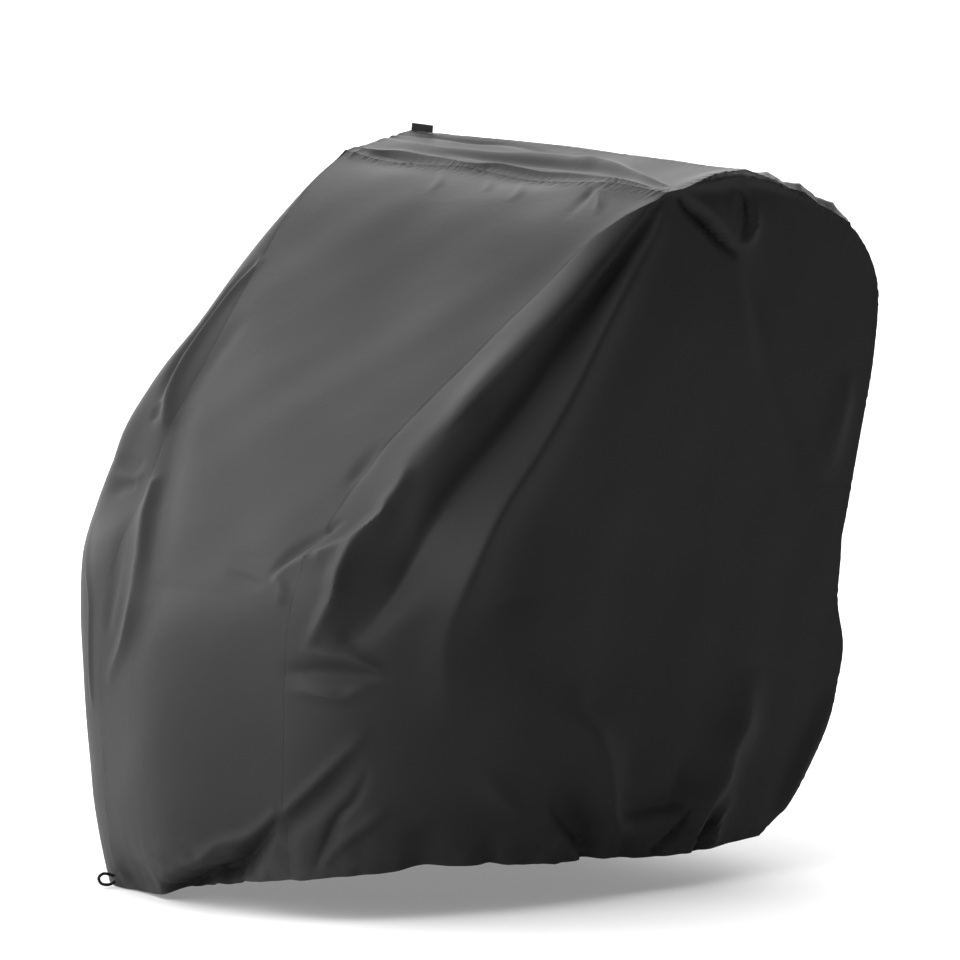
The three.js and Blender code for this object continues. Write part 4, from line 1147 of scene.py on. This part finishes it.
def add_node(tree, kind, values=None, **settings):
    """A node with its settings and its inputs."""
    made = tree.nodes.new(kind)
    for key, value in settings.items():
        setattr(made, key, value)
    return plug(tree, made, values or {})


def math_node(tree, operation, first, second=0.0, third=0.0, clamp=False):
    """The output of one Math node."""
    return add_node(tree, "ShaderNodeMath", {0: first, 1: second, 2: third}, operation=operation,
                    use_clamp=clamp).outputs[0]


def times(tree, first, second):
    """The product of two values."""
    return math_node(tree, "MULTIPLY", first, second)


def mix_colour(tree, share, first, second):
    """The output of one colour Mix node."""
    return add_node(tree, "ShaderNodeMix", {0: share, 6: first, 7: second}, data_type="RGBA").outputs[2]


def noise(tree, vector, scale, **values):
    """The output of one Noise node."""
    values = {key.title(): value for key, value in values.items()}
    return add_node(tree, "ShaderNodeTexNoise", {"Vector": vector, "Scale": scale, **values}).outputs["Fac"]


def bump(tree, height, strength, distance, **under):
    """The normal of one Bump node, laid over another normal if there is one."""
    values = {"Height": height, "Strength": strength, "Distance": distance}
    values.update({key.title(): value for key, value in under.items()})
    return add_node(tree, "ShaderNodeBump", values).outputs["Normal"]


def weave_group():
    """A plain weave: the product of two sine waves, square to each other, one pitch long."""
    group, start, end = new_group("Cover Weave", {"Vector": None, "Pitch": 0.0008}, ("Height",))
    apart = add_node(group, "ShaderNodeSeparateXYZ", {0: start["Vector"]}).outputs
    turn = math_node(group, "DIVIDE", 2 * math.pi, start["Pitch"])
    waves = [math_node(group, "SINE", times(group, apart[axis], turn)) for axis in (0, 1)]
    plug(group, end, {"Height": math_node(group, "MULTIPLY_ADD", times(group, *waves), 0.5, 0.5)})
    return group


def crinkle_group():
    """Fine crinkles of a thin coated cloth: half ridged and half plain noise, and broad patches of tone."""
    group, start, end = new_group("Cover Crinkle", {"Vector": None, "Size": 0.03}, ("Height", "Patch"))
    scale = math_node(group, "DIVIDE", 1.0, start["Size"])
    fine = noise(group, start["Vector"], scale, detail=3.0, roughness=0.5, distortion=0.4)
    ridge = math_node(group, "ABSOLUTE", math_node(group, "SUBTRACT", fine, 0.5))
    ridge = times(group, math_node(group, "POWER", ridge, 0.7), 1.4)
    height = math_node(group, "MULTIPLY_ADD", ridge, 0.5, times(group, fine, 0.5))
    broad = noise(group, start["Vector"], times(group, scale, 0.16), detail=2.0)
    plug(group, end, {"Height": height, "Patch": broad})
    return group


def seam_group():
    """Small crumples beside a seam: noise drawn out square to it, and a mask that fades with the distance, used
    to paint a highlight beside the seam.
    """
    group, start, end = new_group("Cover Seam", {
        "Way": 0.0, "Gap": 1.0, "Tug": 1.0, "Pitch": 0.008, "Reach": 0.008}, ("Height", "Mask"))
    along = math_node(group, "DIVIDE", start["Way"], start["Pitch"])
    away = math_node(group, "DIVIDE", start["Gap"], times(group, start["Pitch"], 2.5))
    place = add_node(group, "ShaderNodeCombineXYZ", {"X": along, "Y": away}).outputs["Vector"]
    crumple = noise(group, place, 1.0, detail=2.0, roughness=0.55, distortion=0.6)
    share = math_node(group, "DIVIDE", start["Gap"], start["Reach"])
    fade = math_node(group, "POWER", math.e, times(group, share, -1.0))
    plug(group, end, {"Height": times(group, crumple, times(group, fade, start["Tug"])), "Mask": fade})
    return group


def dust_group():
    """Dust that lies on the lowest cloth, broken up by noise."""
    group, start, end = new_group("Cover Dust", {"Vector": None, "Reach": 0.12}, ("Mask",))
    apart = add_node(group, "ShaderNodeSeparateXYZ", {0: start["Vector"]})
    low = math_node(group, "DIVIDE", apart.outputs[2], start["Reach"])
    low = math_node(group, "SUBTRACT", 1.0, low, clamp=True)
    cloud = noise(group, start["Vector"], 26.0, detail=4.0, roughness=0.65)
    cloud = add_node(group, "ShaderNodeMapRange", {"Value": cloud, "From Min": 0.42, "From Max": 0.7})
    plug(group, end, {"Mask": times(group, low, cloud.outputs["Result"])})
    return group


def group_node(tree, name, make, values):
    """The outputs of a node group, built the first time it is asked for, with a material's own values."""
    group = bpy.data.node_groups.get(name) or make()
    return add_node(tree, "ShaderNodeGroup", values, node_tree=group).outputs


def shared_material(name, look, *values):
    """A material that is made once. The look gives what its shader's inputs are."""
    material = bpy.data.materials.get(name)
    if not material:
        material = bpy.data.materials.new(name)
        material.use_nodes = True
        tree = material.node_tree
        plug(tree, tree.nodes["Principled BSDF"], look(tree, *values))
    return material


def scaled(colour, share):
    """A colour made darker or lighter, with alpha."""
    return tuple(value * share for value in colour) + (1.0,)


def object_place(tree):
    """The place on the object itself."""
    return add_node(tree, "ShaderNodeTexCoord").outputs["Object"]


def cloth_run(tree):
    """The run of the cloth across and up, from the UV map."""
    return add_node(tree, "ShaderNodeUVMap", uv_map=UV_MAP).outputs["UV"]


def cloth_look(tree, cloth):
    """Coated polyester: a fine weave, soft crinkles, gathers at the seams, a painted highlight that makes the
    cloth paler beside the seams, and a little dust.
    """
    place = object_place(tree)
    way, gap, tug = (
        add_node(tree, "ShaderNodeAttribute", attribute_name=f"seam_{layer}").outputs["Fac"]
        for layer in ("way", "gap", "tug"))
    weave = group_node(tree, "Cover Weave", weave_group, {"Vector": cloth_run(tree), "Pitch": 0.0011})
    crinkle = group_node(tree, "Cover Crinkle", crinkle_group, {"Vector": place, "Size": 0.03})
    seam = group_node(tree, "Cover Seam", seam_group, {
        "Way": way, "Gap": gap, "Tug": tug, "Pitch": 0.008, "Reach": 0.01})
    dust = group_node(tree, "Cover Dust", dust_group, {"Vector": place, "Reach": 0.13})

    tone = add_node(tree, "ShaderNodeValToRGB", {"Fac": crinkle["Patch"]})
    for element, position, share in zip(tone.color_ramp.elements, (0.3, 0.72), (0.9, 1.1)):
        element.position = position
        element.color = scaled(cloth, share)
    colour = tone.outputs["Color"]
    for mask, share, over in (
        (weave["Height"], 0.25, scaled(cloth, 0.75)),
        # Painted highlight: the cloth beside the seams is painted paler, lifting the shade of the seam grooves.
        (seam["Mask"], 0.3, scaled(cloth, 1.25)),
        (dust["Mask"], 0.22, (0.16, 0.155, 0.145, 1)),
    ):
        colour = mix_colour(tree, times(tree, mask, share), colour, over)

    rough = add_node(tree, "ShaderNodeMapRange", {
        "Value": crinkle["Patch"], "From Min": 0.3, "From Max": 0.7, "To Min": 0.5, "To Max": 0.6})
    fine = bump(tree, weave["Height"], 0.12, 0.0002)
    soft = bump(tree, crinkle["Height"], 0.35, 0.0012, normal=fine)
    return {
        "Base Color": colour,
        "Roughness": math_node(tree, "MULTIPLY_ADD", dust["Mask"], 0.25, rough.outputs["Result"]),
        "Normal": bump(tree, seam["Height"], 0.9, 0.005, normal=soft),
        "Specular IOR Level": 0.13,
        "Sheen Weight": 0.03,
        "Sheen Roughness": 0.4,
    }


def thread_look(tree, thread):
    """Twisted polyester thread: slanting plies in the bump and an uneven tone."""
    place = object_place(tree)
    ply = add_node(tree, "ShaderNodeTexWave", {"Vector": place, "Scale": 700.0, "Distortion": 1.0},
                   wave_type="BANDS", bands_direction="DIAGONAL").outputs["Fac"]
    crinkle = group_node(tree, "Cover Crinkle", crinkle_group, {"Vector": place, "Size": 0.012})
    colour = mix_colour(tree, crinkle["Patch"], scaled(thread, 0.7), scaled(thread, 1.8))
    return {
        "Base Color": mix_colour(tree, times(tree, ply, 0.3), colour, scaled(thread, 0.5)),
        "Normal": bump(tree, ply, 0.5, 0.0002),
        "Roughness": 0.6,
        "Specular IOR Level": 0.3,
    }


def trim_look(tree, trim, pitch):
    """Woven trim: fine ribs along its own run, with paler flecks."""
    weave = group_node(tree, "Cover Weave", weave_group, {"Vector": cloth_run(tree), "Pitch": pitch})
    crinkle = group_node(tree, "Cover Crinkle", crinkle_group, {"Vector": object_place(tree), "Size": 0.008})
    colour = mix_colour(tree, crinkle["Patch"], scaled(trim, 0.8), scaled(trim, 1.5))
    return {
        "Base Color": mix_colour(tree, times(tree, weave["Height"], 0.5), colour, scaled(trim, 2.4)),
        "Normal": bump(tree, weave["Height"], 0.6, 0.0003),
        "Roughness": 0.85,
        "Specular IOR Level": 0.12,
    }


def floor_look(tree, floor):
    """A plain pale matt floor with the faintest change of tone, and a painted contact shadow near the cover:
    ambient occlusion darkens its colour and its glow to the camera.
    """
    cloud = noise(tree, object_place(tree), 0.6, detail=2.0)
    colour = mix_colour(tree, cloud, scaled(floor, 0.985), scaled(floor, 1.0))
    # Painted shadow: ambient occlusion darkens the floor's colour and its camera-only glow close to the cover.
    near = add_node(tree, "ShaderNodeAmbientOcclusion", {"Distance": 1.2}).outputs["AO"]
    shade = add_node(tree, "ShaderNodeMapRange", {
        "Value": near, "From Min": 0.3, "From Max": 0.98, "To Min": 0.42}).outputs["Result"]
    seen = add_node(tree, "ShaderNodeLightPath").outputs["Is Camera Ray"]
    return {
        "Base Color": mix_colour(tree, shade, scaled(floor, 0.3), colour),
        "Emission Color": times(tree, seen, shade),
        "Emission Strength": 0.6,
        "Roughness": 0.9,
        "Specular IOR Level": 0.1,
    }


def inset_line(part, edge, offset):
    """A line on the panel's outer face at an even distance from one edge, with the way out of the cloth."""
    points, normals = part["points"], part["normals"]
    if edge in ("low", "high"):
        points, normals = points.transpose(1, 0, 2), normals.transpose(1, 0, 2)
    if edge in ("end", "high"):
        points, normals = points[::-1], normals[::-1]
    run = run_of(points, 0)
    low = np.clip((run < offset).sum(0) - 1, 0, len(run) - 2)
    pick = np.arange(points.shape[1])
    part_way = ((offset - run[low, pick]) / (run[low + 1, pick] - run[low, pick]))[:, None]
    line = points[low, pick] * (1 - part_way) + points[low + 1, pick] * part_way
    out = normals[low, pick] * (1 - part_way) + normals[low + 1, pick] * part_way
    return line, unit(out)


def stitches(lines, cloth):
    """Rows of stitches along lines: short threads, thicker in the middle and dipping at their ends."""
    turn = np.arange(STITCH_SIDES) * 2 * np.pi / STITCH_SIDES
    way = np.linspace(-1, 1, STITCH_RINGS)
    thick = np.sqrt(np.clip(1 - (STITCH_TAPER * way) ** 4, 0, 1))
    length, radius = cloth.stitch_pitch * STITCH_FILL / 2, cloth.thread / 2
    along = np.repeat(way * length, STITCH_SIDES)
    side = (thick[:, None] * np.cos(turn) * radius).ravel()
    lift = (thick[:, None] * np.sin(turn) * radius + (STITCH_LIFT - way[:, None] ** 2) * radius).ravel()
    quads = ring_faces(STITCH_RINGS, STITCH_SIDES)
    points, faces = [], []
    count = 0
    for line, out in lines:
        line = line * MM
        run = run_of(line)
        at = np.arange(cloth.stitch_pitch, run[-1] - cloth.stitch_pitch / 2, cloth.stitch_pitch)
        pick = lambda values, where: np.stack([np.interp(where, run, column) for column in values.T], -1)
        middle, up = pick(line, at), unit(pick(out, at))
        sunk = soft_step(0.5 + uneven_wave(at / MM, SUNK_RUN, "stitches"))
        middle = middle - up * (STITCH_SINK * radius * sunk)[:, None]
        ahead = unit(pick(line, at + length) - pick(line, at - length))
        beside = unit(np.cross(up, ahead))
        up = np.cross(ahead, beside)
        made = middle[:, None] + along[None, :, None] * ahead[:, None] + side[None, :, None] * beside[:, None]
        points.append((made + lift[None, :, None] * up[:, None]).reshape(-1, 3))
        starts = count + np.arange(len(at)) * len(along)
        faces.append((quads[None] + starts[:, None, None]).reshape(-1, 4))
        count += len(at) * len(along)
    return np.concatenate(points), np.concatenate(faces)


def loop_route():
    """The loop's route, from the cloth just above the hem, out and back below, as a smooth line of points."""
    foot = np.array(LOOP_FOOT)
    out = np.array([*LOOP_OUT, 0.0])
    spread = LOOP_HALF_SPREAD / LOOP_HALF_RISE
    shares = [(0.0, spread), *LOOP_OUTLINE, (0.0, -spread)]
    rows = [foot + out * (LOOP_OFF_CLOTH + reach * LOOP_REACH + LOOP_TILT * rise * LOOP_HALF_RISE)
            + np.array([0, 0, rise * LOOP_HALF_RISE]) for reach, rise in shares]
    return smooth_rows(rows) * MM


def braided_tube(route, radius):
    """A round profile carried along a route, its radius rising and falling in a crossing braid."""
    line = EvenLine(route)
    share = np.linspace(0, 1, LOOP_STEPS + 1)
    at = line(share)
    ahead = unit(np.gradient(at, axis=0))
    level = unit(np.cross(ahead, np.array([*LOOP_OUT[::-1], 0.0]) * np.array([1, -1, 0])))
    beside = unit(np.cross(ahead, level))
    turn = np.arange(LOOP_SIDES) * 2 * np.pi / LOOP_SIDES
    twist = 2 * np.pi * line.whole / (BRAID_TURN * radius) * share[:, None]
    strands = [np.abs(np.sin(BRAID_PLIES / 2 * turn + way * twist)) * 0.5 for way in (1, -1)]
    thick = radius * (1 - BRAID_RELIEF + BRAID_RELIEF * (strands[0] + strands[1]))[..., None]
    ring = np.cos(turn)[None, :, None] * level[:, None] + np.sin(turn)[None, :, None] * beside[:, None]
    points = at[:, None] + thick * ring
    run = np.stack(np.broadcast_arrays(share[:, None] * line.whole, turn[None] * radius), -1)
    return points.reshape(-1, 3), ring_faces(LOOP_STEPS + 1, LOOP_SIDES), run.reshape(-1, 2), line.whole


def finish_piece(made, node, material):
    """Rides a piece on the cover, in its node's place, with its finish."""
    made.data.materials.append(material)
    if node:
        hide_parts(node)
    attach(made, "root")


KEPT = {}


def sewn_cloth(scene):
    """The whole cover's grids, worked out once."""
    if "cloth" not in KEPT:
        KEPT["cloth"] = SewnCloth(scene.cover_cloth)
    return KEPT["cloth"]


class COVER_OT_stage(bpy.types.Operator):
    """Sets the camera, the pale floor and the soft lights"""

    bl_idname = "cover.set_stage"
    bl_label = "Set the Stage"

    def execute(self, context):
        stage = context.scene.cover_stage
        flat = math.cos(stage.elevation)
        side, ahead = math.sin(stage.azimuth) * flat, -math.cos(stage.azimuth) * flat
        way = np.array([side, ahead, math.sin(stage.elevation)])
        lens = bpy.data.cameras.new("View")
        lens.sensor_width = SENSOR
        lens.lens = SENSOR * stage.distance / stage.view_width
        lens.clip_end = CLIP_END
        camera = bpy.data.objects.new("View", lens)
        context.scene.collection.objects.link(camera)
        camera.location = np.array(stage.target) + stage.distance * way
        camera.rotation_euler = (math.pi / 2 - stage.elevation, 0, stage.azimuth)
        context.scene.camera = camera

        corners = np.array([(-1, -1, 0), (1, -1, 0), (1, 1, 0), (-1, 1, 0)]) * FLOOR_REACH
        corners = corners - np.array([0, 0, FLOOR_DROP])
        floor = put_mesh("floor", corners, np.array([[0, 1, 2, 3]]), smooth=False)
        floor.data.materials.append(shared_material("Pale Floor", floor_look, stage.floor))

        for name, row in LIGHTS.items():
            self.light(context, name.title(), getattr(stage, name), *row)
        self.backdrop(context, stage)
        context.scene.view_settings.view_transform = "Standard"
        return {"FINISHED"}

    def backdrop(self, context, stage):
        """A white backdrop to the camera. To the cover, a dim sky that glows on one side."""
        world = bpy.data.worlds.new("Studio")
        context.scene.world = world
        world.use_nodes = True
        tree = world.node_tree
        tree.nodes.clear()
        seen = add_node(tree, "ShaderNodeLightPath").outputs["Is Camera Ray"]
        way = add_node(tree, "ShaderNodeTexCoord").outputs["Generated"]
        facing = add_node(tree, "ShaderNodeVectorMath", {0: way, 1: BACKDROP}, operation="DOT_PRODUCT")
        glow = add_node(tree, "ShaderNodeMapRange", {
            "Value": facing.outputs["Value"], "From Min": BACKDROP_EDGE[0], "From Max": BACKDROP_EDGE[1],
            "To Min": stage.sky, "To Max": stage.sky + stage.glow}, interpolation_type="SMOOTHSTEP")
        strength = add_node(tree, "ShaderNodeMapRange", {
            "Value": seen, "To Min": glow.outputs["Result"], "To Max": SEEN_SKY}).outputs["Result"]
        sky = add_node(tree, "ShaderNodeBackground", {"Color": (1, 1, 1, 1), "Strength": strength})
        add_node(tree, "ShaderNodeOutputWorld", {"Surface": sky.outputs[0]})

    def light(self, context, name, power, kind, place, size):
        """One light that points at the middle of the cover, or a sun that shines straight down."""
        data = bpy.data.lights.new(name, kind)
        data.energy = power
        if kind == "SUN":
            data.angle = SUN_ANGLE
        else:
            data.size = size
        made = bpy.data.objects.new(name, data)
        context.scene.collection.objects.link(made)
        made.location = place
        made.visible_camera = False
        x, y, z = np.array(place) - np.array([0, 0, 0 if kind == "SUN" else LIGHT_AIM])
        made.rotation_euler = (math.atan2(math.hypot(x, y), z), 0, math.atan2(x, -y))


class COVER_OT_loop(bpy.types.Operator):
    """Braids the small elastic loop at the nose's hem"""

    bl_idname = "cover.braid_loop"
    bl_label = "Braid the Hem Loop"

    def execute(self, context):
        route = loop_route()
        radius = LOOP_CORD * MM / 2
        points, faces, run, whole = braided_tube(route, radius)
        made = put_mesh("hem_loop_cord", points, faces)
        put_uv(made, run)
        look = shared_material("Braided Elastic", trim_look, context.scene.cover_finish.trim, 0.0016)
        finish_piece(made, "hem_loop", look)
        path = [tuple(point) for point in EvenLine(route)(np.linspace(0, 1, LOOP_PATH_POINTS))]
        return {"FINISHED"}


class COVER_OT_band(bpy.types.Operator):
    """Drapes the front, top and rear panels"""

    bl_idname = "cover.drape_band"
    bl_label = "Drape the Front, Top and Rear"

    def execute(self, context):
        drape_panels(context, ("front", "top", "rear"))
        return {"FINISHED"}


class COVER_OT_sides(bpy.types.Operator):
    """Drapes the two side panels"""

    bl_idname = "cover.drape_sides"
    bl_label = "Drape the Sides"

    def execute(self, context):
        drape_panels(context, ("right", "left"))
        return {"FINISHED"}


def drape_panels(context, names):
    """Drapes some panels and sews their stitches."""
    cover = sewn_cloth(context.scene)
    finish = context.scene.cover_finish
    for name in names:
        made = drape(cover, name)
        look = shared_material("Coated Polyester", cloth_look, finish.cloth)
        finish_piece(made, NODES[name], look)
        part = cover.panel(name)
        rows = [inset_line(part, edge, offset) for edge, offset in STITCH_ROWS[name]]
        if rows:
            thread = put_mesh(f"{NODES[name]}_stitches", *stitches(rows, cover.cloth))
            look = shared_material("Sewing Thread", thread_look, finish.thread)
            finish_piece(thread, None, look)


class COVER_OT_label(bpy.types.Operator):
    """Folds the bare label tab in the top rear seam"""

    bl_idname = "cover.fold_label"
    bl_label = "Fold the Label Tab"

    def execute(self, context):
        points, faces, run = label_tab()
        made = put_mesh("seam_label_tab", points, faces)
        put_uv(made, run)
        look = shared_material("Woven Label", trim_look, context.scene.cover_finish.trim, 0.0012)
        finish_piece(made, "seam_label", look)
        return {"FINISHED"}


def label_tab():
    """A folded ribbon: up one side, round the fold and down the other, along its width with a slight wave."""
    lean = math.radians(LABEL_LEAN)
    along = np.array([1.0, 0, 0])
    up = np.array([0, math.sin(lean), math.cos(lean)])
    face = np.cross(along, up)
    half = LABEL_THICKNESS / 2
    straight = np.linspace(0, LABEL_HEIGHT - half, LABEL_ROWS)
    turn = np.linspace(0, np.pi, LABEL_FOLD_STEPS + 1)[1:-1]
    foot = np.linspace(-half, half, LABEL_FOOT_STEPS + 1)[1:-1]
    bend = LABEL_HEIGHT - half + half * np.sin(turn)
    height = np.concatenate([straight, bend, straight[::-1], np.zeros(len(foot))])
    flat = np.full(LABEL_ROWS, half)
    deep = np.concatenate([flat, half * np.cos(turn), -flat, foot])
    share = np.linspace(0, 1, LABEL_COLUMNS + 1)
    wave = LABEL_WAVE * np.sin(2 * np.pi * LABEL_WAVES * share + LABEL_WAVE_START)[:, None]
    wave = wave * (height / LABEL_HEIGHT)[None] ** 2
    corner = np.array(LABEL_CORNER) + along * LABEL_FROM_CORNER + up * LABEL_CLEAR
    ends = np.clip(np.abs(share - 0.5) * 2 - (1 - LABEL_PINCH), 0, 1)
    pinch = 1 - 0.5 * ends[:, None] / LABEL_PINCH
    points = (corner + along * (share * LABEL_WIDTH)[:, None, None] + up * height[None, :, None]
              + face * (deep[None] * pinch + wave)[..., None])
    faces = ring_faces(*points.shape[:2])[:, [0, 3, 2, 1]]
    run = np.stack(np.broadcast_arrays((share * LABEL_WIDTH)[:, None], (height + deep)[None]), -1)
    return points.reshape(-1, 3) * MM, faces, run.reshape(-1, 2) * MM


class COVER_PT_panel(bpy.types.Panel):
    """The cover's sizes, colours and steps in the sidebar"""

    bl_idname = "COVER_PT_panel"
    bl_label = "Trailer Cover"
    bl_space_type = "VIEW_3D"
    bl_region_type = "UI"
    bl_category = "Trailer Cover"

    def draw(self, context):
        for group in (context.scene.cover_cloth, context.scene.cover_finish, context.scene.cover_stage):
            box = self.layout.box()
            for key in group.__annotations__:
                box.prop(group, key)
        for step in STEPS:
            self.layout.operator(step.bl_idname)


STEPS = (COVER_OT_stage, COVER_OT_loop, COVER_OT_band, COVER_OT_sides, COVER_OT_label)
GROUPS = {"cover_cloth": CoverCloth, "cover_finish": CoverFinish, "cover_stage": CoverStage}


def register():
    """Registers the property groups, the operators and the panel."""
    for kind in (*GROUPS.values(), *STEPS, COVER_PT_panel):
        bpy.utils.register_class(kind)
    for name, kind in GROUPS.items():
        setattr(bpy.types.Scene, name, bpy.props.PointerProperty(type=kind))


def unregister():
    """Removes what register added."""
    for name in GROUPS:
        delattr(bpy.types.Scene, name)
    for kind in (COVER_PT_panel, *reversed(STEPS), *GROUPS.values()):
        bpy.utils.unregister_class(kind)


def main():
    """Builds the scene step by step."""
    register()
    bpy.ops.cover.set_stage()
    bpy.ops.cover.braid_loop()
    bpy.ops.cover.drape_band()
    bpy.ops.cover.drape_sides()
    bpy.ops.cover.fold_label()


if __name__ == "__main__":
    main()
